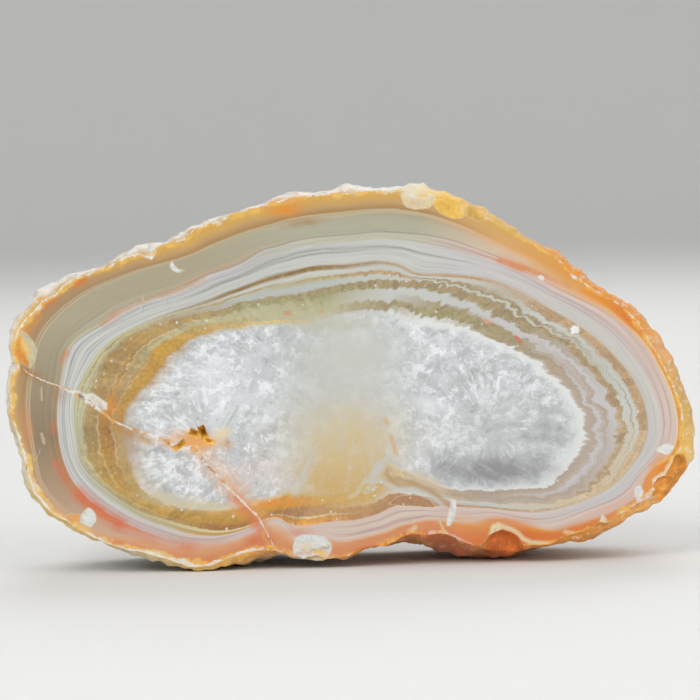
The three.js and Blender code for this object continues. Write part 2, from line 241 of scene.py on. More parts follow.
STRETCHES = (
    Stretch(22, (
        (0.0, Tone.YELLOW_OCHRE), (0.3, Tone.GOLDEN), (0.7, Tone.TAN_GOLD), (0.93, Tone.RUST_TAN),
        (1.03, Tone.SAND), (1.2, Tone.GREY_TAN), (1.5, Tone.GREY_GREEN), (1.95, Tone.GREY_GREEN),
        (2.0, Tone.DARK_LINE), (2.05, Tone.PALE_GREEN), (2.2, Tone.PALE_GREEN), (2.26, Tone.BLUE_WHITE),
        (2.42, Tone.BLUE_WHITE), (2.46, Tone.DARK_LINE), (2.52, Tone.BLUE_WHITE), (2.9, Tone.BLUE_WHITE),
        (2.97, Tone.TAN_BROWN), (3.1, Tone.WHITE), (3.38, Tone.WHITE), (3.45, Tone.TAN_BROWN),
        (3.62, Tone.TAN_BROWN), (3.7, Tone.WHITE), (3.94, Tone.WHITE), (3.99, Tone.DRUSY),
        (4.22, Tone.DRUSY), (4.27, Tone.BLUE_WHITE), (4.62, Tone.BLUE_WHITE), (4.68, Tone.OLIVE_BROWN),
        (4.92, Tone.OLIVE_BROWN), (4.97, Tone.BLUE_WHITE),
    )),
    Stretch(45, (
        (0.0, Tone.YELLOW_OCHRE), (0.2, Tone.GOLDEN), (0.45, Tone.TAN_ORANGE), (0.95, Tone.TAN_ORANGE),
        (1.1, Tone.PEACH), (1.5, Tone.PALE_PEACH), (1.92, Tone.PALE_PEACH), (1.98, Tone.PINK_LINE),
        (2.03, Tone.PINK_WHITE), (2.12, Tone.PINK_LINE), (2.18, Tone.PINK_WHITE), (2.3, Tone.LILAC_WHITE),
        (2.88, Tone.LILAC_WHITE), (2.96, Tone.TAN_BROWN), (3.08, Tone.TAN_BROWN), (3.14, Tone.WHITE),
        (3.38, Tone.WHITE), (3.48, Tone.OLIVE_BROWN), (3.75, Tone.OLIVE_BROWN), (3.82, Tone.WHITE),
        (3.93, Tone.WHITE), (3.99, Tone.DRUSY), (4.2, Tone.OLIVE_BROWN), (4.25, Tone.BLUE_WHITE),
        (4.42, Tone.BLUE_WHITE), (4.47, Tone.OLIVE_BROWN), (4.78, Tone.OLIVE), (4.84, Tone.BRIGHT_WHITE),
    )),
    Stretch(68, (
        (0.0, Tone.GOLDEN), (0.2, Tone.ORANGE), (0.8, Tone.ORANGE), (1.1, Tone.LIGHT_ORANGE),
        (1.5, Tone.PEACH), (1.92, Tone.PEACH), (2.0, Tone.PINK_LINE), (2.06, Tone.PINK_WHITE),
        (2.2, Tone.PINK_WHITE), (2.26, Tone.PINK_LINE), (2.32, Tone.LILAC_WHITE), (2.4, Tone.LILAC_WHITE),
        (2.44, Tone.PINK_LINE), (2.5, Tone.GREY_WHITE), (3.0, Tone.GREY_WHITE), (3.1, Tone.TAN_BROWN),
        (3.42, Tone.TAN_BROWN), (3.46, Tone.BLUE_WHITE), (3.62, Tone.BLUE_WHITE), (3.68, Tone.OLIVE_BROWN),
        (3.8, Tone.OLIVE_BROWN), (3.84, Tone.WHITE), (3.9, Tone.WHITE), (3.95, Tone.DRUSY),
        (4.25, Tone.OLIVE_BROWN), (4.29, Tone.LILAC_WHITE), (4.5, Tone.LILAC_WHITE),
        (4.54, Tone.OLIVE_BROWN), (4.9, Tone.OLIVE_BROWN), (4.94, Tone.BRIGHT_WHITE),
    )),
    Stretch(92, (
        (0.0, Tone.YELLOW_OCHRE), (0.2, Tone.GOLDEN), (0.5, Tone.ORANGE), (0.85, Tone.ORANGE),
        (0.97, Tone.CREAM), (1.5, Tone.PINK_WHITE), (2.05, Tone.PINK_WHITE), (2.1, Tone.PINK_LINE),
        (2.16, Tone.PINK_WHITE), (2.3, Tone.PINK_WHITE), (2.36, Tone.PINK_LINE), (2.42, Tone.PINK_WHITE),
        (2.6, Tone.GREY_WHITE), (2.92, Tone.GREY_WHITE), (3.02, Tone.TAN_BROWN), (3.32, Tone.TAN_BROWN),
        (3.36, Tone.BLUE_WHITE), (3.52, Tone.BLUE_WHITE), (3.57, Tone.OLIVE_BROWN), (3.63, Tone.BLUE_WHITE),
        (3.82, Tone.BLUE_WHITE), (3.87, Tone.OLIVE_BROWN), (4.1, Tone.TAN_BROWN), (4.15, Tone.LILAC_WHITE),
        (4.34, Tone.LILAC_WHITE), (4.4, Tone.MAUVE_BROWN), (4.53, Tone.MAUVE), (4.57, Tone.LILAC_WHITE),
        (4.63, Tone.LILAC_WHITE), (4.66, Tone.MAUVE_BROWN), (4.84, Tone.MAUVE), (4.9, Tone.BRIGHT_WHITE),
    )),
    Stretch(112, (
        (0.0, Tone.ORANGE), (0.8, Tone.SALMON), (1.1, Tone.ROSE), (1.7, Tone.ROSE), (2.1, Tone.PINK_WHITE),
        (2.2, Tone.PINK_LINE), (2.3, Tone.LILAC_WHITE), (2.9, Tone.LILAC_WHITE), (3.1, Tone.CREAM_TAN),
        (3.75, Tone.CREAM_TAN), (3.95, Tone.TAN_BROWN), (4.1, Tone.MAUVE), (4.3, Tone.MAUVE_BROWN),
        (4.5, Tone.LILAC_WHITE), (4.58, Tone.LILAC_WHITE), (4.62, Tone.MAUVE), (4.88, Tone.MAUVE_BROWN),
        (4.92, Tone.BRIGHT_WHITE),
    )),
    Stretch(128, (
        (0.0, Tone.DEEP_ORANGE), (0.5, Tone.DEEP_ORANGE), (0.8, Tone.ORANGE), (0.95, Tone.LIGHT_ORANGE),
        (1.1, Tone.CREAM_TAN), (1.9, Tone.PINK_WHITE), (2.4, Tone.PINK_WHITE), (2.48, Tone.PINK_LINE),
        (2.56, Tone.PINK_WHITE), (2.92, Tone.PINK_WHITE), (3.04, Tone.TAN_BROWN), (3.2, Tone.TAN_BROWN),
        (3.32, Tone.BLUE_WHITE), (3.85, Tone.WHITE), (4.0, Tone.MAUVE), (4.4, Tone.MAUVE_BROWN),
        (4.9, Tone.MAUVE_BROWN), (4.96, Tone.BRIGHT_WHITE),
    )),
    Stretch(150, (
        (0.0, Tone.DEEP_ORANGE), (0.5, Tone.SALMON), (1.0, Tone.SALMON), (1.35, Tone.PEACH),
        (2.0, Tone.PINK_WHITE), (2.2, Tone.PINK_LINE), (2.28, Tone.PINK_WHITE), (2.55, Tone.PINK_WHITE),
        (2.62, Tone.PINK_LINE), (2.7, Tone.PINK_WHITE), (2.96, Tone.PINK_WHITE), (3.02, Tone.BROWN_DRUSY),
        (3.66, Tone.BROWN_DRUSY), (3.74, Tone.BRIGHT_WHITE), (4.0, Tone.WHITE), (4.2, Tone.CREAM_TAN),
        (4.4, Tone.TAN_BROWN), (4.6, Tone.CREAM_TAN), (5.0, Tone.MILKY_HONEY),
    )),
    Stretch(172, (
        (0.0, Tone.DEEP_ORANGE), (0.35, Tone.SALMON), (1.0, Tone.SALMON), (1.6, Tone.PEACH),
        (2.1, Tone.PINK_WHITE), (2.28, Tone.PINK_LINE), (2.36, Tone.PINK_WHITE), (2.6, Tone.PINK_WHITE),
        (2.68, Tone.PINK_LINE), (2.76, Tone.PINK_WHITE), (2.96, Tone.PINK_WHITE), (3.03, Tone.BROWN_DRUSY),
        (3.66, Tone.BROWN_DRUSY), (3.8, Tone.SAND), (4.2, Tone.HONEY), (5.0, Tone.HONEY),
    )),
    Stretch(196, (
        (0.0, Tone.SALMON), (0.6, Tone.SALMON), (0.95, Tone.PEACH), (1.3, Tone.PINK_WHITE),
        (2.9, Tone.PINK_WHITE), (3.02, Tone.LIGHT_ORANGE), (3.3, Tone.GOLD_ORANGE), (3.4, Tone.CREAM),
        (3.48, Tone.BROWN_DRUSY), (3.95, Tone.BROWN_DRUSY), (4.1, Tone.GOLD_ORANGE),
        (4.6, Tone.GOLD_ORANGE), (5.0, Tone.HONEY),
    )),
    Stretch(222, (
        (0.0, Tone.SALMON), (0.35, Tone.SALMON), (0.7, Tone.PEACH), (1.0, Tone.PINK_WHITE),
        (2.2, Tone.LILAC_WHITE), (2.3, Tone.PINK_LINE), (2.38, Tone.LILAC_WHITE), (2.55, Tone.PINK_WHITE),
        (2.62, Tone.GOLD), (2.76, Tone.GOLD), (2.85, Tone.CREAM), (2.95, Tone.CREAM),
        (3.05, Tone.BURNT_BROWN), (3.9, Tone.BURNT_BROWN), (4.15, Tone.GOLD_BROWN), (4.5, Tone.GOLD),
        (4.8, Tone.GOLD_ORANGE), (4.97, Tone.CREAM),
    )),
    Stretch(243, (
        (0.0, Tone.LIGHT_ORANGE), (0.5, Tone.PEACH), (1.0, Tone.ROSY_TAN), (1.5, Tone.ROSY_TAN),
        (1.75, Tone.SALMON), (1.93, Tone.SALMON), (2.0, Tone.LILAC_WHITE), (2.3, Tone.LILAC_WHITE),
        (2.34, Tone.DARK_LINE), (2.38, Tone.BLUE_WHITE), (2.6, Tone.BLUE_WHITE), (2.68, Tone.PALE_OLIVE),
        (2.86, Tone.PALE_OLIVE), (2.95, Tone.OLIVE_GOLD), (3.4, Tone.OLIVE_GOLD), (3.5, Tone.YELLOW_OCHRE),
        (3.6, Tone.OLIVE_GOLD), (4.0, Tone.GOLD), (4.85, Tone.OLIVE_GOLD), (5.0, Tone.CREAM_TAN),
    )),
    Stretch(262, (
        (0.0, Tone.GOLDEN), (0.35, Tone.TAN_GOLD), (0.8, Tone.RUST_TAN), (0.95, Tone.SAND),
        (1.0, Tone.GREY_BROWN), (1.05, Tone.SAND), (1.1, Tone.GREY_BROWN), (1.85, Tone.GREY_BROWN),
        (1.93, Tone.RUST_TAN), (2.0, Tone.LILAC_WHITE), (2.3, Tone.BLUE_WHITE), (2.34, Tone.DARK_LINE),
        (2.4, Tone.BLUE_WHITE), (2.9, Tone.BLUE_WHITE), (3.1, Tone.PALE_OLIVE), (3.5, Tone.PALE_OLIVE),
        (3.8, Tone.OLIVE_DARK), (4.22, Tone.OLIVE_DARK), (4.25, Tone.CREAM_TAN), (4.28, Tone.GOLD_BROWN),
        (4.61, Tone.BURNT_BROWN), (4.64, Tone.SAND), (4.67, Tone.GOLD_DRUSY), (4.92, Tone.GOLD_BROWN),
        (5.0, Tone.MAUVE),
    )),
    Stretch(285, (
        (0.0, Tone.GOLDEN), (0.2, Tone.GOLDEN), (0.38, Tone.BROWN_TAN), (0.92, Tone.BROWN_TAN),
        (0.98, Tone.SAND), (1.02, Tone.GREY_BROWN), (1.06, Tone.SAND), (1.1, Tone.GREY_TAN),
        (1.7, Tone.GREY_TAN), (1.88, Tone.GREY_GREEN), (1.95, Tone.SAND), (2.0, Tone.GREY_GREEN),
        (2.08, Tone.BLUE_WHITE), (2.3, Tone.LILAC_GREY), (2.36, Tone.BLUE_WHITE), (2.92, Tone.BLUE_WHITE),
        (3.1, Tone.PALE_OLIVE), (3.25, Tone.OLIVE_GOLD), (3.4, Tone.PALE_OLIVE), (3.6, Tone.OLIVE_DARK),
        (3.8, Tone.GOLD_DRUSY), (4.33, Tone.GOLD_DRUSY), (4.36, Tone.CREAM_TAN), (4.39, Tone.OLIVE_GOLD),
        (4.55, Tone.PALE_OLIVE), (4.62, Tone.GOLD), (4.93, Tone.GOLD), (4.99, Tone.GOLD_BROWN),
    )),
    Stretch(312, (
        (0.0, Tone.GOLDEN), (0.4, Tone.GOLDEN), (0.65, Tone.TAN_GOLD), (0.95, Tone.RUST_TAN),
        (1.02, Tone.SAND), (1.08, Tone.GREY_TAN), (1.8, Tone.GREY_TAN), (1.88, Tone.ROSY_TAN),
        (1.96, Tone.GREY_TAN), (2.04, Tone.LILAC_WHITE), (2.26, Tone.LILAC_GREY), (2.32, Tone.LILAC_WHITE),
        (2.5, Tone.DARK_LINE), (2.56, Tone.BLUE_WHITE), (2.84, Tone.BLUE_WHITE), (2.92, Tone.BROWN_LINE),
        (3.04, Tone.BROWN_LINE), (3.12, Tone.WHITE), (3.28, Tone.WHITE), (3.34, Tone.OLIVE_GOLD),
        (3.42, Tone.OLIVE_GOLD), (3.48, Tone.BLUE_GREY), (3.92, Tone.BLUE_GREY), (4.0, Tone.OLIVE_BROWN),
        (4.18, Tone.OLIVE), (4.35, Tone.PALE_OLIVE), (4.88, Tone.PALE_OLIVE), (4.95, Tone.YELLOW_OCHRE),
        (5.02, Tone.PALE_OLIVE),
    )),
    Stretch(345, (
        (0.0, Tone.GOLDEN), (0.35, Tone.GOLDEN), (0.6, Tone.TAN_GOLD), (0.9, Tone.RUST_TAN),
        (0.97, Tone.SAND), (1.05, Tone.GREY_TAN), (1.12, Tone.SAND), (1.2, Tone.GREY_GREEN),
        (1.92, Tone.GREY_GREEN), (1.97, Tone.DARK_LINE), (2.02, Tone.PALE_GREEN), (2.2, Tone.PALE_GREEN),
        (2.26, Tone.BLUE_WHITE), (2.36, Tone.LILAC_GREY), (2.42, Tone.DARK_LINE), (2.47, Tone.BLUE_WHITE),
        (2.55, Tone.DARK_LINE), (2.6, Tone.BLUE_WHITE), (2.84, Tone.BLUE_WHITE), (2.92, Tone.WHITE),
        (2.98, Tone.BROWN_LINE), (3.12, Tone.BROWN_LINE), (3.2, Tone.WHITE), (3.4, Tone.WHITE),
        (3.48, Tone.OLIVE_GOLD), (3.62, Tone.PALE_OLIVE), (3.7, Tone.BLUE_GREY), (3.95, Tone.BLUE_GREY),
        (4.02, Tone.DRUSY), (4.2, Tone.OLIVE), (4.7, Tone.PALE_OLIVE), (5.0, Tone.PALE_GREEN),
    )),
)


@dataclass(frozen=True)
class Spot:
    """A soft oval stain on the face.

    The middle and the half sizes are pixels of the photograph, and the turn is clockwise in degrees.
    """

    middle: tuple[float, float]
    half: tuple[float, float]
    turn: float
    tone: Tone
    strength: float = 1.0


@dataclass(frozen=True)
class Stroke:
    """A drawn line on the face, through pixels of the photograph, with its half width in millimetres."""

    line: tuple[tuple[float, float], ...]
    half_mm: float
    tone: Tone
    strength: float = 0.8


@dataclass(frozen=True)
class Patch:
    """A crisp patch on the face, such as a cell of other quartz: its outline in pixels, and its tone."""

    outline: tuple[tuple[float, float], ...]
    tone: Tone


STAINS = (
    Spot((287, 206), (22, 8), -8, Tone.ORANGE, 0.95),
    Spot((305, 219), (24, 5), -6, Tone.RUST_TAN, 0.7),
    Spot((264.5, 204), (2.5, 2.5), 0, Tone.RED_SALMON, 0.9),
    Spot((630, 314), (34, 7), 40, Tone.DEEP_ORANGE, 0.9),
    Spot((590, 290), (28, 6), 32, Tone.ORANGE, 0.6),
    Spot((518, 263), (26, 5), 20, Tone.SALMON, 0.9),
    Spot((545, 275), (26, 3), 28, Tone.ROSE, 0.6),
    Spot((34, 372), (24, 6), 28, Tone.RUST, 0.6),
    Spot((60, 392), (12, 8), 30, Tone.RUST, 0.35),
    Spot((28, 425), (6, 26), -8, Tone.SALMON, 0.6),
    Spot((60, 528), (20, 6), 32, Tone.ORANGE, 0.55),
    Spot((130, 545), (40, 6), 20, Tone.DEEP_ORANGE, 0.55),
    Spot((225, 556), (40, 6), -4, Tone.DEEP_ORANGE, 0.5),
    Spot((254, 538), (12, 10), -30, Tone.RED_SALMON, 0.7),
    Spot((300, 530), (18, 6), 0, Tone.RED_SALMON, 0.5),
    Spot((280, 500), (32, 6), -3, Tone.ORANGE, 0.95),
    Spot((240, 508), (16, 4), -10, Tone.GOLD_ORANGE, 0.8),
    Spot((340, 482), (58, 32), 0, Tone.HONEY, 1.0),
    Spot((350, 448), (46, 42), 8, Tone.HONEY, 0.75),
    Spot((345, 438), (76, 50), 0, Tone.MILKY_HONEY, 0.6),
    Spot((262, 465), (30, 26), 20, Tone.PINK_WHITE, 0.4),
    Spot((197, 437), (32, 11), 8, Tone.LIGHT_ORANGE, 0.85),
    Spot((222, 430), (12, 8), -20, Tone.CREAM, 0.8),
    Spot((168, 440), (12, 6), 14, Tone.PEACH, 0.8),
    Spot((232, 478), (24, 18), 42, Tone.PINK_WHITE, 0.75),
    Spot((240, 497), (22, 6), 45, Tone.PEACH, 0.6),
    Spot((228, 442), (8, 5), 30, Tone.GOLD_ORANGE, 0.5),
    Spot((112, 402), (9, 11), 20, Tone.ORANGE, 0.7),
    Spot((104, 390), (8, 8), 0, Tone.RUST_TAN, 0.6),
    Spot((131, 442), (14, 28), -12, Tone.MAUVE_BROWN, 0.75),
    Spot((185, 500), (52, 8), 8, Tone.CREAM_OLIVE, 0.75),
    Spot((330, 322), (52, 8), -2, Tone.PALE_GREEN, 0.8),
    Spot((350, 352), (60, 36), 0, Tone.MILKY, 0.75),
    Spot((512, 432), (74, 46), 0, Tone.LILAC_GREY, 0.35),
    Spot((494, 468), (64, 17), -2, Tone.QUARTZ_SHADE, 1.0),
    Spot((446, 462), (22, 16), 30, Tone.QUARTZ_SHADE, 0.6),
    Spot((545, 440), (16, 26), 20, Tone.QUARTZ_SHADE, 0.35),
    Spot((430, 402), (24, 10), 10, Tone.QUARTZ_WHITE, 0.5),
    Spot((226, 384), (58, 42), -20, Tone.QUARTZ_WHITE, 0.3),
    Spot((430, 480), (26, 8), 30, Tone.CREAM_TAN, 0.7),
    Spot((463, 516), (22, 6), 10, Tone.PEACH, 0.5),
    Spot((508, 520), (32, 7), 4, Tone.SALMON, 0.8),
    Spot((660, 468), (11, 20), 22, Tone.ORANGE, 1.0),
    Spot((664, 466), (6, 12), 22, Tone.DEEP_ORANGE, 0.45),
    Spot((640, 505), (24, 7), -32, Tone.RED_SALMON, 0.75),
    Spot((585, 523), (40, 5), -12, Tone.DEEP_ORANGE, 0.6),
    Spot((322, 308), (4, 3), 0, Tone.GOLD_ORANGE, 0.5),
    Spot((288, 310), (6, 2.5), 0, Tone.RED_SALMON, 0.6),
    Spot((468, 290), (16, 5), 15, Tone.OLIVE_BROWN, 0.35),
)
SMEARS = (
    Stroke(((196, 438), (214, 465), (238, 492), (262, 518)), 1.3, Tone.LIGHT_ORANGE, 0.45),
    Stroke(((236, 496), (252, 514), (268, 534)), 0.8, Tone.RED_SALMON, 0.6),
    Stroke(((104, 412), (125, 427), (150, 438)), 0.6, Tone.GOLD_BROWN, 0.7),
    Stroke(((80, 491), (92, 501), (104, 511), (120, 521)), 0.9, Tone.RED_SALMON, 0.7),
    Stroke(((120, 521), (140, 532), (165, 541), (190, 546)), 1.1, Tone.RED_SALMON, 0.4),
    Stroke(((190, 546), (220, 549), (245, 546)), 1.2, Tone.SALMON, 0.6),
    Stroke(((56, 460), (61, 468), (67, 477)), 0.5, Tone.RED_SALMON, 0.45),
    Stroke(((53, 420), (54, 428)), 0.4, Tone.RED_SALMON, 0.5),
    Stroke(((62, 358), (65, 353), (68, 349)), 0.4, Tone.RED_SALMON, 0.4),
    Stroke(((104, 321), (110, 317), (117, 311)), 0.4, Tone.RED_SALMON, 0.4),
    Stroke(((117, 311), (140, 301), (165, 292), (205, 277)), 0.25, Tone.ROSY_TAN, 0.7),
    Stroke(((77, 281), (84, 276)), 0.5, Tone.DEEP_ORANGE, 0.8),
    Stroke(((43, 304), (49, 299), (55, 294)), 0.6, Tone.DEEP_ORANGE, 0.6),
    Stroke(((23, 338), (30, 325), (40, 312)), 0.5, Tone.ORANGE, 0.5),
    Stroke(((500, 257), (520, 263), (545, 272), (570, 283)), 0.3, Tone.SALMON, 0.7),
    Stroke(((535, 262), (560, 273), (580, 284)), 0.5, Tone.TAN_ORANGE, 0.6),
)
PATCHES = (
    Patch(((12, 336), (11.5, 348), (17.6, 356), (31.4, 364.5), (36, 356), (37.5, 347), (34.4, 339),
           (29, 331.5),
           (23, 327.7), (20, 331)), Tone.CREAM_OLIVE),
    Patch(((12, 336), (11.5, 348), (17.6, 356), (30, 364), (27.5, 352), (23.5, 342),
           (21, 331)), Tone.ORANGE),
    Patch(((82, 511), (88, 504.7), (92.6, 507), (96, 513), (95.7, 519), (90.3, 525), (85, 522), (81, 520)),
          Tone.BRIGHT_WHITE),
    Patch(((294, 542), (296.5, 535), (303.4, 532), (315, 532.3), (325.6, 534.6), (333, 542), (331.4, 550),
           (327, 556), (315, 560), (303, 558.3), (294, 554.5)), Tone.BRIGHT_WHITE),
    Patch(((401.5, 193.4), (405.7, 185.7), (417, 183), (428.7, 185.7), (436.3, 191.5), (434.4, 199),
           (428.7, 205), (415, 206), (405.7, 203)), Tone.CREAM),
    Patch(((434.4, 198), (440, 194), (455.5, 195), (466, 199), (467, 207), (463, 214.4), (453.6, 215.4),
           (442, 210.6), (435.4, 204)), Tone.SUNNY),
    Patch(((468, 200), (476.5, 203), (484, 208.7), (484, 217), (476.5, 217), (468, 212.5)), Tone.GOLDEN),
    Patch(((483, 209.7), (490, 212.5), (489, 216.3), (484, 215.4)), Tone.CREAM),
    Patch(((173, 257.3), (175.3, 262), (179, 265.7), (186, 267.6), (179, 269), (173, 266.5), (170.7, 262)),
          Tone.BRIGHT_WHITE),
    Patch(((135, 248), (141, 244), (155, 243), (158, 248), (153, 255.8), (145.4, 254)), Tone.RIND_WHITE),
    Patch(((216, 212), (223, 212), (223.6, 219), (219, 223), (216, 218)), Tone.RIND_WHITE),
    Patch(((570, 326.4), (572, 324), (573, 321), (575.5, 323.5), (580, 321), (578.5, 325), (582, 327),
           (578.5, 328), (580, 332), (575.5, 329.5), (572, 331.5), (572.5, 328)), Tone.QUARTZ_WHITE),
    Patch(((452.4, 496), (457.4, 497.7), (456.6, 511), (451.6, 522.6), (447.5, 524.3), (449, 512.7)),
          Tone.BRIGHT_WHITE),
    Patch(((493, 524), (499.7, 521.8), (503, 527), (493, 531)), Tone.CREAM),
    Patch(((635.7, 484.5), (641.5, 482.8), (644.8, 487.8), (641.5, 502.7), (637.3, 496)), Tone.BRIGHT_WHITE),
    Patch(((601, 519), (604, 512), (608, 517), (606, 519.5)), Tone.BRIGHT_WHITE),
    Patch(((132, 552), (138, 549), (147, 550.6), (159, 549), (162, 553.6), (156, 557.5), (144, 554.4),
           (135, 555)), Tone.RIND_WHITE),
    Patch(((168, 554.4), (173, 557.5), (180.6, 560.5), (186, 564.4), (182, 566), (174.5, 562)), Tone.CREAM),
    Patch(((192, 564), (200, 562), (206, 565), (203, 570), (194, 570.5)), Tone.CREAM),
    Patch(((214, 562), (219, 559), (226, 560), (224, 565), (216, 566)), Tone.RIND_WHITE),
    Patch(((31, 484), (35, 480), (40.5, 486), (37, 491), (32, 490)), Tone.RIND_WHITE),
    Patch(((33, 492), (38, 494), (44, 502), (49, 505), (45, 507), (36, 499)), Tone.RIND_WHITE),
    Patch(((64, 514), (72, 511), (80, 512), (80, 519), (72, 521)), Tone.LIGHT_ORANGE),
    Patch(((242, 551.5), (247, 548.5), (258, 547.8), (267, 549), (262, 552.5), (250, 553)), Tone.RIND_WHITE),
    Patch(((362.6, 489.6), (367, 484.5), (374, 482), (378.8, 483.5), (375, 488),
           (367, 491)), Tone.CREAM_OLIVE),
    Patch(((390, 501), (397, 495), (406, 492.5), (418, 493), (430, 497), (437, 504.5), (425, 504),
           (405, 503)),
          Tone.BROWN_DRUSY),
    Patch(((72, 387), (80, 388), (86, 391), (94, 390), (100, 395), (108, 400), (107, 407), (99, 405),
           (92, 403), (86, 399), (78, 393)), Tone.RIND_WHITE),
    Patch(((656, 447), (668, 440), (676, 444), (668, 452)), Tone.RIND_WHITE),
    Patch(((538, 273), (543, 272), (545, 276), (541, 277)), Tone.RIND_WHITE),
    Patch(((590, 283), (599, 286), (603, 291), (596, 290)), Tone.RIND_WHITE),
    Patch(((571, 270), (577, 273), (578, 276), (573, 275)), Tone.RIND_WHITE),
)
TINTS = (
    Spot((26, 344), (5, 13), -25, Tone.SUNNY, 0.75),
    Spot((417, 191), (16, 5), 8, Tone.RIND_WHITE, 0.9),
    Spot((416, 200), (13, 5), 6, Tone.PALE_PEACH, 0.7),
    Spot((96, 397), (10, 3), 30, Tone.PALE_PEACH, 0.7),
    Spot((101, 404), (5, 3), 30, Tone.RUST_TAN, 0.6),
    Spot((446, 203), (8, 5), 15, Tone.GOLD_ORANGE, 0.45),
    Spot((463, 206), (3, 6), 10, Tone.CREAM, 0.6),
    Spot((306, 545), (9, 5), 0, Tone.CREAM, 0.9),
    Spot((322, 551), (9, 3), -10, Tone.LIGHT_ORANGE, 0.7),
    Spot((88, 515), (4, 6), 0, Tone.RIND_WHITE, 0.5),
    Spot((338, 193), (5, 3.5), 0, Tone.CREAM, 0.5),
    Spot((338, 193), (2.5, 1.5), 0, Tone.GOLDEN, 0.8),
)
STROKES = (
    Stroke(((318, 441), (312, 452), (307, 465), (303.5, 475)), 0.28, Tone.WHITE, 0.5),
    Stroke(((303.5, 475), (298.5, 480), (296, 490)), 0.5, Tone.WHITE, 0.6),
    Stroke(((391, 441), (394, 450), (386, 457)), 0.22, Tone.WHITE, 0.6),
    Stroke(((386, 457), (381, 461), (383, 466), (374, 470), (372, 477), (367, 478)), 0.36, Tone.WHITE, 0.85),
    Stroke(((380, 462), (376, 473)), 0.5, Tone.WHITE, 0.7),
    Stroke(((367, 478), (361, 484), (358, 490), (351, 494)), 0.3, Tone.CREAM_OLIVE, 0.8),
    Stroke(((372, 480), (381, 477), (392, 484), (402, 488), (416, 488), (430, 492), (444, 502)), 0.3,
           Tone.WHITE, 0.8),
    Stroke(((389, 466), (387, 471), (391, 475), (399, 482), (405, 482), (414, 481), (427, 486), (440, 494),
            (450, 503)), 0.3, Tone.TAN_BROWN, 0.9),
    Stroke(((386, 417), (388, 420)), 0.25, Tone.GOLD_ORANGE, 0.6),
    Stroke(((392, 433), (393, 438), (397, 450)), 0.22, Tone.GOLD_ORANGE, 0.6),
    Stroke(((485, 546), (490, 537.5), (493, 529), (494.7, 523.4), (499.7, 521.8), (506.3, 525), (513, 526.8),
            (519.6, 531), (524.6, 536.7), (533, 540), (548, 541)), 0.26, Tone.CREAM, 0.95),
    Stroke(((410, 530), (416, 525)), 0.3, Tone.CREAM, 0.8),
    Stroke(((432, 531), (444, 531.5)), 0.3, Tone.BRIGHT_WHITE, 0.9),
    Stroke(((446, 532), (456, 536), (466, 542), (474, 545)), 0.3, Tone.BRIGHT_WHITE, 0.85),
    Stroke(((441, 519), (444, 527), (450, 533)), 0.16, Tone.CREAM, 0.75),
    Stroke(((667, 480), (672, 472), (681, 467)), 0.3, Tone.CREAM, 0.85),
    Stroke(((684, 436), (678, 452), (668, 456), (657, 462)), 0.2, Tone.SUNNY, 0.5),
    Stroke(((312, 549), (320, 547.5), (330, 544)), 0.16, Tone.RUST_TAN, 0.75),
    Stroke(((296, 553), (304, 549), (312, 552)), 0.16, Tone.SALMON, 0.6),
    # A small pit on the crack, drawn dark: painted shade of a hole that isn't cut.
    Stroke(((80.5, 391.5), (83, 394.5)), 0.24, Tone.PIT_SHADE, 0.85),
    Stroke(((516, 333), (521.5, 339)), 0.16, Tone.RED_SALMON, 0.95),
    Stroke(((485.5, 317), (491, 320)), 0.2, Tone.SALMON, 0.9),
    Stroke(((23, 446), (25, 458)), 0.2, Tone.CREAM, 0.8),
    Stroke(((30, 452), (31.5, 465), (30, 476)), 0.22, Tone.SUNNY, 0.85),
    Stroke(((26, 462), (27, 474)), 0.16, Tone.CREAM, 0.7),
    Stroke(((42, 385), (42.5, 397)), 0.16, Tone.CREAM_TAN, 0.8),
    Stroke(((42, 431), (44.5, 440)), 0.2, Tone.CREAM_TAN, 0.8),
    Stroke(((36, 457), (41, 446)), 0.12, Tone.CREAM_TAN, 0.6),
    Stroke(((143, 293), (145, 299)), 0.14, Tone.CREAM_TAN, 0.7),
    Stroke(((141, 302), (143, 307)), 0.14, Tone.WHITE, 0.7),
    Stroke(((165, 294), (167, 299)), 0.14, Tone.WHITE, 0.7),
    Stroke(((270, 543), (264, 534), (266, 524)), 0.2, Tone.LIGHT_ORANGE, 0.6),
    Stroke(((538, 547), (552, 540), (566, 538)), 0.24, Tone.SUNNY, 0.7),
    Stroke(((566, 529), (575, 531), (579, 538)), 0.24, Tone.CREAM, 0.7),
    Stroke(((595, 313), (600, 318)), 0.12, Tone.CREAM, 0.4),
)
CHIP_COLOURS = (
    # The open pits take a sunny gold, lighter than their golden-brown facets: partly their own colour, partly
    # painted light that lifts the shade in the pit walls.
    Patch(((156, 408), (244, 408), (244, 456), (156, 456)), Tone.SUNNY),
    Patch(((486, 547), (491, 536), (498, 529), (508, 527), (518, 531), (526, 540), (530, 556), (484, 556)),
          Tone.DEEP_ORANGE),
    Patch(((650, 470), (660, 456), (685, 450), (692, 470), (680, 500), (655, 500)), Tone.ORANGE),
    Patch(((622, 505), (640, 500), (658, 494), (662, 504), (640, 522), (622, 520)), Tone.LIGHT_ORANGE),
)

# How deep behind the face the chips' colours reach, and over how much of it they fade.
CHIP_DEPTH_MM = 6.0
CHIP_FADE_MM = 3.0

# The healed crack from the left edge to the open pit, and on to the lower edge: place in pixels and half
# width in millimetres.
CRACK = (
    ((8, 359), 0.09), ((20, 363), 0.1), ((33, 373), 0.08), ((50, 379), 0.07), ((62, 384), 0.1),
    ((72, 388), 0.18), ((82, 394), 0.3), ((92, 401), 0.3), ((102, 408), 0.26), ((112, 416), 0.12),
    ((125, 423), 0.1), ((140, 429), 0.14), ((155, 433), 0.18), ((172, 440), 0.3), ((186, 446), 0.35),
    ((197, 446), 0.4), ((203, 457), 0.22), ((213, 468), 0.12), ((228, 484), 0.14), ((240, 496), 0.2),
    ((252, 508), 0.15), ((262, 518), 0.13), ((268, 530), 0.11), ((274, 546), 0.12), ((281, 554), 0.1),
)
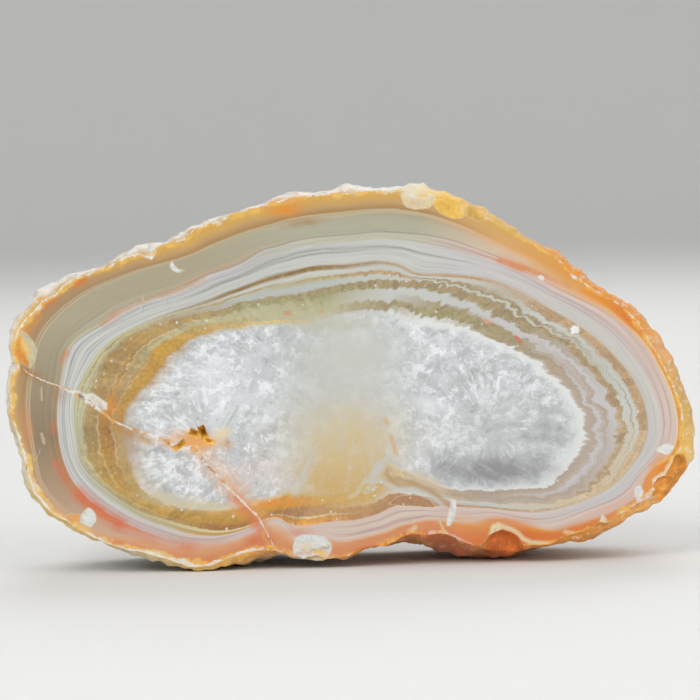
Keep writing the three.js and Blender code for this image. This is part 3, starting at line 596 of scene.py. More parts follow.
# The open pits lie between these two pixels, this deep at most.
VUG = ((160, 405), (235, 465))
VUG_DEPTH_MM = 4.0

# White needles stand round one pixel in each lobe of crystals.
NEEDLES = ((490, 424), (214, 442))
NEEDLE_REACH_MM = 13.0

# Where the quartz is milky, where it is like crushed ice and where it is bubbly.
QUARTZ_SORTS = (
    Spot((345, 410), (82, 140), 0, Tone.MILKY),
    Spot((545, 440), (130, 80), 0, Tone.QUARTZ),
    Spot((120, 460), (120, 60), 12, Tone.QUARTZ),
)

# Tone of the rind by bearing where it meets the polished face, and how deep it fades into the plain rind.
RIND_FADES_MM = (
    (0, 0.5), (12, 0.8), (24, 6.0), (45, 9.0), (105, 9.0), (112, 40.0), (185, 40.0), (200, 10.0), (250, 4.0),
    (262, 0.6), (300, 0.5),
)
RIND_TONES = (
    (0, Tone.GOLDEN), (8, Tone.RIND_WHITE), (18, Tone.CREAM), (26, Tone.SUNNY), (45, Tone.GOLDEN),
    (62, Tone.ORANGE), (74, Tone.ORANGE), (82, Tone.LIGHT_ORANGE), (90, Tone.GOLDEN), (100, Tone.SUNNY),
    (106, Tone.RIND_WHITE), (112, Tone.LIGHT_ORANGE), (122, Tone.ORANGE),
    (140, Tone.DEEP_ORANGE), (165, Tone.DEEP_ORANGE), (180, Tone.ORANGE), (195, Tone.CREAM),
    (205, Tone.ORANGE), (222, Tone.SUNNY), (235, Tone.CREAM), (245, Tone.SUNNY), (258, Tone.CREAM),
    (275, Tone.SUNNY), (290, Tone.GOLDEN), (330, Tone.GOLDEN), (345, Tone.LIGHT_ORANGE),
)
RIND_FADES_TO = 0.85

# How gently the drawn marks end: stains, lines, quartz sorts, and the border of a crisp patch in millimetres.
STAIN_REACH = 0.72
LINE_REACH = 0.5
SORT_REACH = 0.75
PATCH_BORDER_MM = 1.6

# How far the rind stays inside the planes of the two sawn faces.
RIND_INSET_MM = 0.02


def on_face(pixel: tuple[float, float]) -> tuple[float, float]:
    """Turns a pixel of the photograph into across and up on the face, in millimetres."""
    return (
        (pixel[0] - ORIGIN_PIXEL[0]) * MM_PER_PIXEL,
        (ORIGIN_PIXEL[1] - pixel[1]) * MM_PER_PIXEL,
    )


def by_bearing(knots: tuple[tuple[float, float], ...], bearing: np.ndarray) -> np.ndarray:
    """Reads a value that is given at some bearings, straight between them.

    Args:
        knots: Bearings in degrees with their values.
        bearing: Bearings to read at.

    Returns:
        The value at each bearing.
    """
    places, values = zip(*knots)
    return np.interp(bearing, places, values, period=360)


def smooth_fall(distance: np.ndarray) -> np.ndarray:
    """Falls smoothly from one at no distance to nothing at a distance of one."""
    inside = np.clip(1 - distance, 0, 1)
    return inside * inside * (3 - 2 * inside)


class FaceChart:
    """Where each vertex lies on the drawn face: across and up, bearing, and place among the bands."""

    def __init__(self, edge: np.ndarray) -> None:
        """Reads the edge of the face that depths are measured from.

        Args:
            edge: Places on the outline of the flat face, in metres.
        """
        bearing, radius = self.polar(*self.drawn(edge))
        outer = self._outermost(bearing, radius)
        order = np.argsort(bearing[outer])
        self.degrees = np.arange(0, 360, 1.0)
        self.edge_radius = np.interp(self.degrees, bearing[outer][order], radius[outer][order], period=360)
        self._bridge(*BROKEN_STRETCH)
        self.starts = self._belt_starts()

    @staticmethod
    def _outermost(bearing: np.ndarray, radius: np.ndarray) -> np.ndarray:
        """Picks the places on the outline, and leaves out those round the open pits inside it.

        Args:
            bearing: Their bearings in degrees.
            radius: Their distances from the heart.

        Returns:
            Which places lie outermost at their bearing.
        """
        away = np.abs((bearing[:, None] - bearing[None, :] + 180) % 360 - 180)
        widest = np.where(away < 3, radius[None, :], 0).max(axis=1)
        return radius > 0.8 * widest

    def _bridge(self, start: float, end: float) -> None:
        """Draws the edge straight across the big chip, where it ran before it broke.

        Args:
            start: Bearing where the chip begins.
            end: Bearing where it ends.
        """
        ends = np.radians([start, end])
        radius = np.interp([start, end], self.degrees, self.edge_radius, period=360)
        first, last = np.stack([radius * np.sin(ends), radius * np.cos(ends)], axis=1)
        step = last - first
        broken = (self.degrees > start) & (self.degrees < end)
        turn = np.radians(self.degrees[broken])
        across_step = np.sin(turn) * step[1] - np.cos(turn) * step[0]
        self.edge_radius[broken] = (first[0] * step[1] - first[1] * step[0]) / across_step

    @staticmethod
    def drawn(points: np.ndarray) -> tuple[np.ndarray, np.ndarray]:
        """Turns places in the part, in metres, into across and up on the drawn face, in millimetres."""
        x = points[:, 0] / MM + FACE_SHIFT[0]
        z = points[:, 2] / MM + FACE_SHIFT[1]
        lean = math.radians(LEAN_DEG)
        return x * math.cos(lean) - z * math.sin(lean), z * math.cos(lean) + x * math.sin(lean)

    @staticmethod
    def polar(across: np.ndarray, up: np.ndarray) -> tuple[np.ndarray, np.ndarray]:
        """Gives the bearing in degrees and the distance in millimetres from the heart."""
        right, rise = across - HEART[0], up - HEART[1]
        return np.degrees(np.arctan2(right, rise)) % 360, np.hypot(right, rise)

    def _belt_starts(self) -> list[np.ndarray]:
        """Gives the radius where each belt starts, for every degree, from the edge inwards."""
        starts = [self.edge_radius]
        for belt, soften in zip(BELTS, BELT_SOFTNESS):
            starts.append(np.minimum(self._belt_radius(belt, soften), starts[-1] - 0.25))
        return starts

    def _belt_radius(self, belt: tuple[tuple[float, float], ...], soften: float) -> np.ndarray:
        """Gives the radius where a belt starts, for every degree.

        The small steps of the edge are smoothed away between the places where the belt's depth is given.

        Args:
            belt: Bearings with depths below the edge.
            soften: How far round the belt is smoothed, in degrees.

        Returns:
            The radius in millimetres at every degree.
        """
        calm = self._soften(self.edge_radius, EDGE_CALM)
        places = np.array([bearing for bearing, _ in belt], float)
        depths = np.array([depth for _, depth in belt]) - by_bearing(EDGE_LIFT, places)
        edge, still = (np.interp(places, self.degrees, r, period=360) for r in (self.edge_radius, calm))
        step = np.interp(self.degrees, places, edge - depths - still, period=360)
        return self._soften(calm + step, soften)

    @staticmethod
    def _soften(values: np.ndarray, spread: float) -> np.ndarray:
        """Smooths values that are given for every degree, round the whole turn.

        Args:
            values: A value for every degree.
            spread: How far they are smoothed, in degrees.

        Returns:
            The smoothed values.
        """
        reach = np.arange(-20, 21)
        weights = np.exp(-0.5 * (reach / spread) ** 2)
        rolled = [np.roll(values, k) * w for k, w in zip(reach, weights)]
        return np.sum(rolled, axis=0) / weights.sum()

    def bands(self, bearing: np.ndarray, radius: np.ndarray) -> np.ndarray:
        """Gives each place's count of belts from the edge, 0, to the heart, 6.

        Args:
            bearing: Bearings in degrees.
            radius: Distances from the heart in millimetres.

        Returns:
            The count of belts, with its share of the belt that the place is in.
        """
        at_place = [np.interp(bearing, self.degrees, start, period=360) for start in self.starts]
        at_place.append(np.zeros_like(radius))
        count = np.minimum(at_place[0] - radius, 0) * 0.5
        for outer, inner in zip(at_place[:-1], at_place[1:]):
            count = count + np.clip((outer - radius) / (outer - inner), 0, 1)
        return count

    def values(self, bearing: np.ndarray, radius: np.ndarray) -> dict[str, np.ndarray]:
        """Gives what the finishes read of the bands.

        Args:
            bearing: Bearings in degrees.
            radius: Distances from the heart in millimetres.

        Returns:
            The count of belts, belts to a millimetre, and millimetres inside the crust and the quartz border.
        """
        edge, quartz = (np.interp(bearing, self.degrees, self.starts[k], period=360) for k in (0, -1))
        return {
            "band": self.bands(bearing, radius),
            "pace": (self.bands(bearing, radius - 0.9) - self.bands(bearing, radius + 0.9)) / 1.8,
            "crust": edge - radius - by_bearing(CRUST, bearing),
            "inward": quartz - radius,
        }


class Marks:
    """Stains, patches, lines and the crack, as values for every vertex."""

    def __init__(self, across: np.ndarray, up: np.ndarray) -> None:
        """Keeps the places that the marks are worked out for, in millimetres on the face."""
        self.across = across
        self.up = up

    def reach(self, spot: Spot) -> np.ndarray:
        """Gives how far out each place is, where one is the oval's outline."""
        middle = on_face(spot.middle)
        right, rise = self.across - middle[0], self.up - middle[1]
        turn = math.radians(spot.turn)
        along = right * math.cos(turn) - rise * math.sin(turn)
        beside = right * math.sin(turn) + rise * math.cos(turn)
        half = [h * MM_PER_PIXEL for h in spot.half]
        return np.hypot(along / half[0], beside / half[1])

    def soft(self, marks: tuple[Spot | Stroke, ...]) -> np.ndarray:
        """Lays soft spots and drawn lines over each other.

        Args:
            marks: The spots and lines, the last on top.

        Returns:
            Red, green, blue and cover for every vertex.
        """
        layer = np.zeros((len(self.across), 4))
        for mark in marks:
            if isinstance(mark, Spot):
                cover = smooth_fall(self.reach(mark) * STAIN_REACH)
            else:
                far = np.full(len(self.across), 99.0)
                for start, end in zip(mark.line[:-1], mark.line[1:]):
                    far = np.minimum(far, self._from_segment(start, end)[0])
                cover = smooth_fall(far / mark.half_mm * LINE_REACH)
            self._lay(layer, mark.tone, cover * mark.strength)
        return layer

    @staticmethod
    def _lay(layer: np.ndarray, tone: Tone, cover: np.ndarray) -> None:
        """Lays one tone with its cover over a layer.

        Args:
            layer: Red, green, blue and cover for every vertex, changed in place.
            tone: The tone to lay.
            cover: How much of it there is at every vertex.
        """
        total = cover + layer[:, 3] * (1 - cover)
        share = np.where(total > 1e-6, cover / np.maximum(total, 1e-6), 0)[:, None]
        layer[:, :3] = layer[:, :3] * (1 - share) + np.array(linear(tone)[:3]) * share
        layer[:, 3] = total

    def crisp(self, patches: tuple[Patch, ...]) -> np.ndarray:
        """Lays crisp patches over each other: cover is above a half inside an outline, below it outside.

        Args:
            patches: The patches, the last on top.

        Returns:
            Red, green, blue and cover for every vertex.
        """
        layer = np.zeros((len(self.across), 4))
        nearest = np.full(len(self.across), 1e9)
        for patch in patches:
            outside = self._outside(patch.outline)
            on_top = outside < np.maximum(nearest, 0)
            nearest = np.where(on_top, outside, nearest)
            layer[on_top, :3] = linear(patch.tone)[:3]
        layer[:, 3] = np.clip(0.5 - nearest / PATCH_BORDER_MM, 0, 1)
        return layer

    def _outside(self, outline: tuple[tuple[float, float], ...]) -> np.ndarray:
        """Gives the way to an outline in millimetres, below nothing inside it.

        Args:
            outline: Pixels round the patch.

        Returns:
            The way for every vertex.
        """
        far = np.full(len(self.across), 99.0)
        inside = np.zeros(len(self.across), bool)
        for start, end in zip(outline, (*outline[1:], outline[0])):
            far = np.minimum(far, self._from_segment(start, end)[0])
            (x0, y0), (x1, y1) = on_face(start), on_face(end)
            if y0 != y1:
                level = (self.up > y0) != (self.up > y1)
                inside ^= level & (self.across < x0 + (self.up - y0) / (y1 - y0) * (x1 - x0))
        return np.where(inside, -far, far)

    def crack(self) -> tuple[np.ndarray, np.ndarray]:
        """Gives the way to the crack, with its side as the sign, and the half width that it has there.

        Returns:
            The way and the half width, in millimetres.
        """
        nearest = np.full(len(self.across), 99.0)
        offset, width = nearest.copy(), np.full(len(self.across), 0.1)
        for (start, wide_start), (end, wide_end) in zip(CRACK[:-1], CRACK[1:]):
            distance, share, side = self._from_segment(start, end)
            closer = distance < nearest
            nearest = np.where(closer, distance, nearest)
            offset = np.where(closer, distance * side, offset)
            width = np.where(closer, wide_start + share * (wide_end - wide_start), width)
        return offset, width

    def _from_segment(self, start: tuple, end: tuple) -> tuple[np.ndarray, np.ndarray, np.ndarray]:
        """Gives the distance from a straight piece between two pixels, the share along it, and the side.

        Args:
            start: The first pixel.
            end: The last pixel.

        Returns:
            The three values for every vertex.
        """
        a, b = np.array(on_face(start)), np.array(on_face(end))
        step = b - a
        right, rise = self.across - a[0], self.up - a[1]
        share = np.clip((right * step[0] + rise * step[1]) / (step @ step), 0, 1)
        distance = np.hypot(right - share * step[0], rise - share * step[1])
        return distance, share, np.sign(step[0] * rise - step[1] * right)

    def needles(self) -> np.ndarray:
        """Gives the direction and the distance of each place from the nearer middle of needles.

        Returns:
            Across, up and distance for every vertex.
        """
        middles = np.array([on_face(pixel) for pixel in NEEDLES])
        away = np.stack([self.across, self.up], axis=1)[:, None, :] - middles
        far = np.hypot(away[..., 0], away[..., 1]) + 1e-6
        nearer = np.argmin(far, axis=1)[:, None]
        away = np.take_along_axis(away, nearer[..., None], axis=1)[:, 0]
        far = np.take_along_axis(far, nearer, axis=1)
        return np.hstack([away / far, far])

    def quartz(self) -> np.ndarray:
        """Gives how milky, how much like crushed ice and how bubbly the quartz is."""
        return np.stack([smooth_fall(self.reach(spot) * SORT_REACH) for spot in QUARTZ_SORTS], axis=1)


class Graph:
    """Adds nodes to a node tree and links them, so that a finish reads as a formula."""

    def __init__(self, tree: bpy.types.NodeTree) -> None:
        """Keeps the tree that the nodes go into."""
        self.tree = tree

    def node(self, kind: str, **settings: object) -> bpy.types.Node:
        """Adds a node with its settings.

        Args:
            kind: The node's type.
            settings: Properties to set on it.

        Returns:
            The new node.
        """
        made = self.tree.nodes.new(kind)
        for name, value in settings.items():
            setattr(made, name, value)
        return made

    def feed(self, socket: bpy.types.NodeSocket, value: object) -> None:
        """Links a socket, or sets a number, vector or tone on it.

        Args:
            socket: The input.
            value: What goes into it.
        """
        if isinstance(value, bpy.types.NodeSocket):
            self.tree.links.new(value, socket)
        elif isinstance(value, Tone):
            socket.default_value = linear(value)
        else:
            socket.default_value = value

    def math(self, operation: str, *values: object, clamp: bool = False) -> bpy.types.NodeSocket:
        """Adds a Math node and gives its output.

        Args:
            operation: The node's operation.
            values: Its inputs.
            clamp: Whether to keep it between 0 and 1.

        Returns:
            Its output.
        """
        made = self.node("ShaderNodeMath", operation=operation, use_clamp=clamp)
        for socket, value in zip(made.inputs, values):
            self.feed(socket, value)
        return made.outputs[0]

    def times(self, first: object, *others: object) -> bpy.types.NodeSocket:
        """Multiplies numbers."""
        for other in others:
            first = self.math("MULTIPLY", first, other)
        return first

    def plus(self, first: object, *others: object) -> bpy.types.NodeSocket:
        """Adds numbers up."""
        for other in others:
            first = self.math("ADD", first, other)
        return first

    def vector(self, operation: str, *values: object) -> bpy.types.NodeSocket:
        """Adds a Vector Math node and gives its output.

        Args:
            operation: The node's operation.
            values: Its inputs.

        Returns:
            Its output.
        """
        made = self.node("ShaderNodeVectorMath", operation=operation)
        for socket, value in zip(made.inputs, values):
            self.feed(socket, value)
        return made.outputs[0]

    def scaled(self, colour: object, factor: object) -> bpy.types.NodeSocket:
        """Makes a colour lighter or darker."""
        return self.vector("SCALE", colour, (0.0,) * 3, (0.0,) * 3, factor)

    def xyz(self, *parts: object) -> bpy.types.NodeSocket:
        """Puts a vector together."""
        made = self.node("ShaderNodeCombineXYZ")
        for socket, value in zip(made.inputs, parts):
            self.feed(socket, value)
        return made.outputs[0]

    def split(self, vector: object) -> bpy.types.NodeOutputs:
        """Takes a vector apart."""
        made = self.node("ShaderNodeSeparateXYZ")
        self.feed(made.inputs[0], vector)
        return made.outputs

    def mix(self, share: object, under: object, over: object) -> bpy.types.NodeSocket:
        """Mixes two colours and gives the result.

        Args:
            share: How much of the upper colour there is.
            under: The lower colour.
            over: The upper colour.

        Returns:
            The mixed colour.
        """
        made = self.node("ShaderNodeMix", data_type="RGBA")
        self.feed(made.inputs["Factor"], share)
        self.feed(made.inputs[6], under)
        self.feed(made.inputs[7], over)
        return made.outputs[2]

    def rises(self, value: object, low: float, high: float) -> bpy.types.NodeSocket:
        """Turns a value into a mask that rises from nothing at low to one at high.

        Args:
            value: What is read.
            low: Where it starts.
            high: Where it is full.

        Returns:
            The mask.
        """
        made = self.node("ShaderNodeMapRange", interpolation_type="SMOOTHSTEP")
        self.feed(made.inputs["Value"], value)
        made.inputs["From Min"].default_value = low
        made.inputs["From Max"].default_value = high
        return made.outputs["Result"]

    def falls(self, value: object, low: float, high: float) -> bpy.types.NodeSocket:
        """Turns a value into a mask that falls from one at low to nothing at high."""
        return self.math("SUBTRACT", 1.0, self.rises(value, low, high))

    def noise(
        self, vector: object, scale: float, detail: float = 2, rough: float = 0.5,
    ) -> bpy.types.NodeSocket:
        """Adds a noise and gives how far it is from its middle, about a half at most to either side.

        Args:
            vector: Where to read it.
            scale: Its lumps to a unit of length.
            detail: How many finer layers it has.
            rough: How strong they are.

        Returns:
            The noise around nothing.
        """
        made = self.node("ShaderNodeTexNoise")
        self.feed(made.inputs["Vector"], vector)
        made.inputs["Scale"].default_value = scale
        made.inputs["Detail"].default_value = detail
        made.inputs["Roughness"].default_value = rough
        return self.math("SUBTRACT", made.outputs["Fac"], 0.5)

    def cells(self, vector: object, scale: float) -> tuple[bpy.types.NodeSocket, bpy.types.NodeSocket]:
        """Adds a Voronoi pattern.

        Args:
            vector: Where to read it.
            scale: Its cells to a unit of length.

        Returns:
            The distance from each cell's middle, and a number for the cell.
        """
        made = self.node("ShaderNodeTexVoronoi")
        self.feed(made.inputs["Vector"], vector)
        made.inputs["Scale"].default_value = scale
        return made.outputs["Distance"], self.split(made.outputs["Color"])[0]

    def ramp(self, value: object, stops: tuple[tuple[float, Tone], ...]) -> bpy.types.NodeSocket:
        """Adds a colour ramp with its stops and gives its colour.

        Args:
            value: What is read, from 0 to 1.
            stops: Places with their tones.

        Returns:
            The colour at the value.
        """
        made = self.node("ShaderNodeValToRGB")
        self.feed(made.inputs["Fac"], value)
        line = made.color_ramp.elements
        line.remove(line[1])
        line[0].position = stops[0][0]
        line[0].color = linear(stops[0][1])
        for place, tone in stops[1:]:
            line.new(place).color = linear(tone)
        return made.outputs["Color"]

    def attribute(self, name: str, output: str = "Fac") -> bpy.types.NodeSocket:
        """Reads one of the mesh's own values."""
        return self.node("ShaderNodeAttribute", attribute_name=name).outputs[output]

    def place(self) -> bpy.types.NodeSocket:
        """Gives the object's own coordinates in millimetres."""
        coordinates = self.node("ShaderNodeTexCoord").outputs["Object"]
        return self.vector("MULTIPLY", coordinates, (1 / MM, 1 / MM, 1 / MM))

    def ring(self, across: float, inwards: float) -> bpy.types.NodeSocket:
        """Gives coordinates along the bands and inwards from them, each times its own factor.

        Args:
            across: Factor along the bands.
            inwards: Factor inwards.

        Returns:
            Along, inwards and nothing.
        """
        turn = self.split(self.attribute("turn", "Vector"))
        along = self.math("ARCTAN2", turn[0], turn[1])
        return self.xyz(self.times(along, RING_MM * across), self.times(turn[2], inwards), 0.0)


def new_object(mesh: bmesh.types.BMesh, name: str) -> bpy.types.Object:
    """Turns a bmesh into an object in the scene, and frees it.

    Args:
        mesh: The shape.
        name: Name of the object and of its mesh.

    Returns:
        The new object.
    """
    data = bpy.data.meshes.new(name)
    mesh.to_mesh(data)
    mesh.free()
    made = bpy.data.objects.new(name, data)
    bpy.context.scene.collection.objects.link(made)
    return made


def new_group(name: str, inputs: dict[str, float], outputs: dict[str, str]) -> tuple[Graph, dict, dict]:
    """Starts a shader node group.

    Args:
        name: The group's name.
        inputs: Names of its number inputs, with their usual values.
        outputs: Names of its outputs, with their socket types.

    Returns:
        The group's graph, its input sockets and the sockets to feed its outputs.
    """
    tree = bpy.data.node_groups.new(name, "ShaderNodeTree")
    for label, usual in inputs.items():
        socket = tree.interface.new_socket(label, in_out="INPUT", socket_type="NodeSocketFloat")
        socket.default_value = usual
    for label, kind in outputs.items():
        tree.interface.new_socket(label, in_out="OUTPUT", socket_type=f"NodeSocket{kind}")
    graph = Graph(tree)
    given = graph.node("NodeGroupInput").outputs
    taken = graph.node("NodeGroupOutput").inputs
    return graph, {k: given[k] for k in inputs}, {k: taken[k] for k in outputs}


class Banding:
    """The bands of the agate from the edge to the crystals, shared by the polished face and the sawn back."""

    def build(self) -> bpy.types.NodeTree:
        """Builds the node group, which puts out the colour, the count of belts, the grain and the teeth."""
        graph, given, taken = new_group(
            "Agate bands",
            {"Waver": 0.08, "Fine lines": 0.16},
            {"Color": "Color", "Band": "Float", "Grain": "Float", "Tooth": "Float"},
        )
        place = graph.place()
        band = graph.attribute("band")
        tooth, column = self._teeth(graph)
        toothed = graph.rises(band, 2.9, 3.9)
        shift = graph.times(tooth, graph.attribute("teeth"), toothed, graph.attribute("pace"))
        band = graph.plus(band, graph.times(graph.noise(place, 0.28, 3), given["Waver"]), shift)
        colour = self._stretches(graph, graph.math("DIVIDE", band, BELT_COUNT, clamp=True))
        lines = graph.times(self._lines(graph, band), given["Fine lines"], graph.attribute("lines"))
        colour = graph.scaled(colour, graph.plus(lines, 1.0))

        hue = graph.node("ShaderNodeSeparateColor", mode="HSV")
        graph.feed(hue.inputs[0], colour)
        brown = graph.rises(hue.outputs[1], 0.32, 0.55)
        druse = graph.times(brown, graph.rises(band, 2.9, 3.05), graph.falls(band, 4.9, 5.05))
        grain = graph.plus(graph.noise(place, 1.8, 4, 0.7), graph.times(column, 0.26), -0.11)
        grain = graph.times(grain, druse)
        graph.feed(taken["Color"], graph.scaled(colour, graph.plus(grain, 1.0)))
        graph.feed(taken["Band"], band)
        graph.feed(taken["Grain"], grain)
        graph.feed(taken["Tooth"], tooth)
        return graph.tree

    @staticmethod
    def _teeth(graph: Graph) -> tuple[bpy.types.NodeSocket, bpy.types.NodeSocket]:
        """Gives how far the crystal teeth reach over the bands, in millimetres, and a number for each.

        Args:
            graph: The group's graph.

        Returns:
            The reach and the number.
        """
        distance, number = graph.cells(graph.ring(1.0, 0.25), 0.75)
        jags = graph.noise(graph.ring(1.0, 0.4), 0.62, 4, 0.68)
        cell = graph.plus(graph.times(distance, 0.9), graph.times(number, 0.35))
        return graph.plus(cell, graph.times(jags, 3.4), -0.6), number

    @staticmethod
    def _stretches(graph: Graph, share: bpy.types.NodeSocket) -> bpy.types.NodeSocket:
        """Blends the bands of all the stretches, each by its weight at the place.

        Args:
            graph: The group's graph.
            share: The count of belts, as a share of all.

        Returns:
            The blended colour.
        """
        colour = (0.0, 0.0, 0.0)
        for number, stretch in enumerate(STRETCHES):
            tone = graph.ramp(share, tuple((place / BELT_COUNT, tone) for place, tone in stretch.bands))
            colour = graph.vector("MULTIPLY_ADD", tone, graph.attribute(f"stretch_{number:02d}"), colour)
        return colour

    @staticmethod
    def _lines(graph: Graph, band: bpy.types.NodeSocket) -> bpy.types.NodeSocket:
        """Draws fine dark and light lines that follow the bands.

        Args:
            graph: The group's graph.
            band: The count of belts.

        Returns:
            How much lighter or darker the lines make the bands.
        """
        turn = graph.attribute("turn", "Vector")
        round_about = graph.vector("MULTIPLY", turn, (1.3, 1.3, 0.0))

        def wander(pace: float, start: float, detail: float) -> bpy.types.NodeSocket:
            """Gives a noise that changes quickly across the bands and slowly along them."""
            depth = graph.xyz(0.0, 0.0, graph.math("MULTIPLY_ADD", band, pace, start))
            return graph.noise(graph.vector("ADD", round_about, depth), 1.0, detail, 0.6)

        total = graph.times(wander(9.0, 3.0, 2), 1.6)
        for pace, start, depth in ((13.0, 0.0, -0.9), (19.0, 9.0, 0.6)):
            thin = graph.falls(graph.math("ABSOLUTE", wander(pace, start, 1)), 0.0, 0.055)
            total = graph.plus(total, graph.times(thin, depth))
        phase = graph.plus(graph.times(band, 36.0), graph.times(wander(1.5, 7.0, 2), 14.0))
        ripple = graph.math("SINE", phase)
        many = graph.math("SUBTRACT", graph.attribute("lines"), 1.0, clamp=True)
        total = graph.plus(total, graph.times(ripple, many, 0.45))
        fade_out = graph.math("MULTIPLY_ADD", graph.falls(band, 3.1, 4.6), 0.7, 0.3)
        return graph.times(total, graph.rises(band, 1.2, 2.2), fade_out)


class Crystals:
    """The quartz of the two lobes: fur on the border, crushed ice, bubbles and clouds."""

    def build(self) -> bpy.types.NodeTree:
        """Builds the node group, whose outputs are the colour and the painted glints on the crystals."""
        graph, given, taken = new_group(
            "Quartz crystals",
            {"Contrast": 1.0, "Tooth": 0.0},
            {"Color": "Color", "Painted glint": "Float"},
        )
        place = graph.place()
        contrast = given["Contrast"]
        milky, ice, bubbly = graph.split(graph.attribute("quartz", "Vector"))[:3]
        clear = graph.times(graph.math("MULTIPLY_ADD", milky, -0.85, 1.0), contrast)
        inward = graph.plus(graph.attribute("inward"), graph.times(given["Tooth"], 0.6))
        shaken = graph.vector("ADD", place, self._shake(graph, place, 1.4))

        broad = graph.rises(graph.noise(place, 0.16, 3, 0.55), -0.12, 0.12)
        cloud = graph.rises(graph.noise(shaken, 0.42, 6, 0.74), -0.13, 0.15)
        clouded = graph.plus(graph.times(broad, 0.35), graph.times(cloud, 0.65))
        colour = graph.mix(clouded, Tone.QUARTZ_MIST, Tone.QUARTZ)
        snow = graph.rises(graph.noise(shaken, 0.6, 5, 0.72), 0.0, 0.13)
        snow = graph.times(snow, graph.math("MULTIPLY_ADD", ice, -0.5, 1.0))
        colour = graph.mix(graph.times(snow, clear, 0.85), colour, Tone.QUARTZ_WHITE)
        hollow = graph.falls(graph.noise(shaken, 0.6, 5, 0.7), -0.2, -0.07)
        colour = graph.mix(graph.times(hollow, clear, 0.6), colour, Tone.QUARTZ_SHADE)

        distance, number = graph.cells(shaken, 0.85)
        grey = graph.times(graph.rises(number, 0.5, 0.95), ice, 0.3)
        colour = graph.mix(graph.times(grey, contrast), colour, Tone.QUARTZ_SHADE)
        lump = graph.falls(distance, 0.1, 0.62)
        colour = graph.mix(graph.times(lump, bubbly, contrast, 0.6), colour, Tone.QUARTZ_WHITE)
        rim = graph.times(graph.rises(distance, 0.42, 0.75), bubbly, contrast)
        colour = graph.mix(graph.times(rim, 0.5), colour, Tone.MAUVE)

        combed = graph.vector("ADD", graph.ring(0.8, 0.24), self._shake(graph, place, 0.9))
        fur = graph.noise(combed, 1.0, 5, 0.68)
        furry = graph.times(graph.falls(inward, 3.0, 10.0), graph.attribute("fur"), contrast)
        colour = graph.mix(graph.times(graph.falls(fur, -0.15, -0.03), furry, 0.5), colour, Tone.QUARTZ_SHADE)
        colour = graph.mix(graph.times(graph.rises(fur, 0.0, 0.12), furry, 0.85), colour, Tone.QUARTZ_WHITE)

        needle = self._needles(graph)
        colour = graph.mix(graph.times(needle, clear, 0.85), colour, Tone.QUARTZ_WHITE)
        colour = graph.mix(graph.times(needle, clear, -0.45), colour, Tone.QUARTZ_SHADE)
        jagged = graph.times(graph.falls(inward, 0.1, 0.9), graph.attribute("teeth"), contrast)
        colour = graph.mix(graph.times(jagged, 0.7), colour, Tone.BRIGHT_WHITE)

        grain = graph.times(graph.noise(place, 2.4, 4, 0.72), clear)
        graph.feed(taken["Color"], graph.scaled(colour, graph.math("MULTIPLY_ADD", grain, 0.42, 1.0)))
        # Painted glints: small white specks in lucky cells stand in for light caught by crystal facets.
        glint_distance, lucky = graph.cells(place, 1.0)
        painted_glint = graph.times(graph.falls(glint_distance, 0.12, 0.24), graph.rises(lucky, 0.62, 0.66))
        graph.feed(taken["Painted glint"], painted_glint)
        return graph.tree

    @staticmethod
    def _needles(graph: Graph) -> bpy.types.NodeSocket:
        """Gives white needles above nothing, and dark ones below it, that stand round the lobes' middles.

        Args:
            graph: The group's graph.

        Returns:
            How strong they are.
        """
        needle = graph.split(graph.attribute("needle", "Vector"))
        across = graph.xyz(*(graph.times(part, k) for part, k in zip(needle, (8.0, 8.0, 0.22))))
        ray = graph.noise(across, 1.0, 5, 0.7)
        ray = graph.math("SUBTRACT", graph.rises(ray, 0.0, 0.13), graph.falls(ray, -0.16, -0.04))
        near = graph.times(graph.rises(needle[2], 1.5, 4.5), graph.falls(needle[2], 5.0, NEEDLE_REACH_MM))
        patchy = graph.rises(graph.noise(graph.place(), 0.45, 3), -0.1, 0.1)
        return graph.times(ray, near, patchy)

    @staticmethod
    def _shake(graph: Graph, place: bpy.types.NodeSocket, size: float) -> bpy.types.NodeSocket:
        """Gives a small wandering shift, so that the crystals' joints aren't straight.

        Args:
            graph: The group's graph.
            place: Where to read it.
            size: How far it goes.

        Returns:
            The shift.
        """
        made = graph.node("ShaderNodeTexNoise")
        graph.feed(made.inputs["Vector"], place)
        made.inputs["Scale"].default_value = 0.9
        made.inputs["Detail"].default_value = 3
        return graph.vector("MULTIPLY", made.outputs["Color"], (size, size, size))


class Finish:
    """A material: makes its node tree and places groups in it."""

    name = "finish"

    def __init__(self) -> None:
        """Starts an empty material with a Principled shader."""
        self.material = bpy.data.materials.new(self.name)
        self.material.use_nodes = True
        self.graph = Graph(self.material.node_tree)
        self.shader = self.material.node_tree.nodes["Principled BSDF"]

    def group(self, tree: bpy.types.NodeTree, **values: object) -> bpy.types.NodeOutputs:
        """Places a node group with its own values, and gives its outputs.

        Args:
            tree: The node group.
            values: Values for its inputs.

        Returns:
            The group's outputs.
        """
        made = self.graph.node("ShaderNodeGroup")
        made.node_tree = tree
        for label, value in values.items():
            self.graph.feed(made.inputs[label], value)
        return made.outputs

    def bump(self, height: bpy.types.NodeSocket, strength: float, distance_mm: float) -> None:
        """Feeds a height into the shader's normal through a Bump node.

        Args:
            height: The height to read.
            strength: How strongly it shows.
            distance_mm: Height of one, in millimetres.
        """
        made = self.graph.node("ShaderNodeBump")
        made.inputs["Strength"].default_value = strength
        made.inputs["Distance"].default_value = distance_mm * MM
        self.graph.feed(made.inputs["Height"], height)
        self.graph.feed(self.shader.inputs["Normal"], made.outputs["Normal"])


@dataclass(frozen=True)
class FaceLook:
    """Numbers that set the polished face and the sawn back apart."""

    name: str
    roughness: float
    dullness: float
    relief_mm: float
    contrast: float


POLISHED = FaceLook("polished agate", 0.16, 0.0, 0.014, 1.0)
SAWN = FaceLook("sawn agate", 0.52, 0.30, 0.05, 0.6)


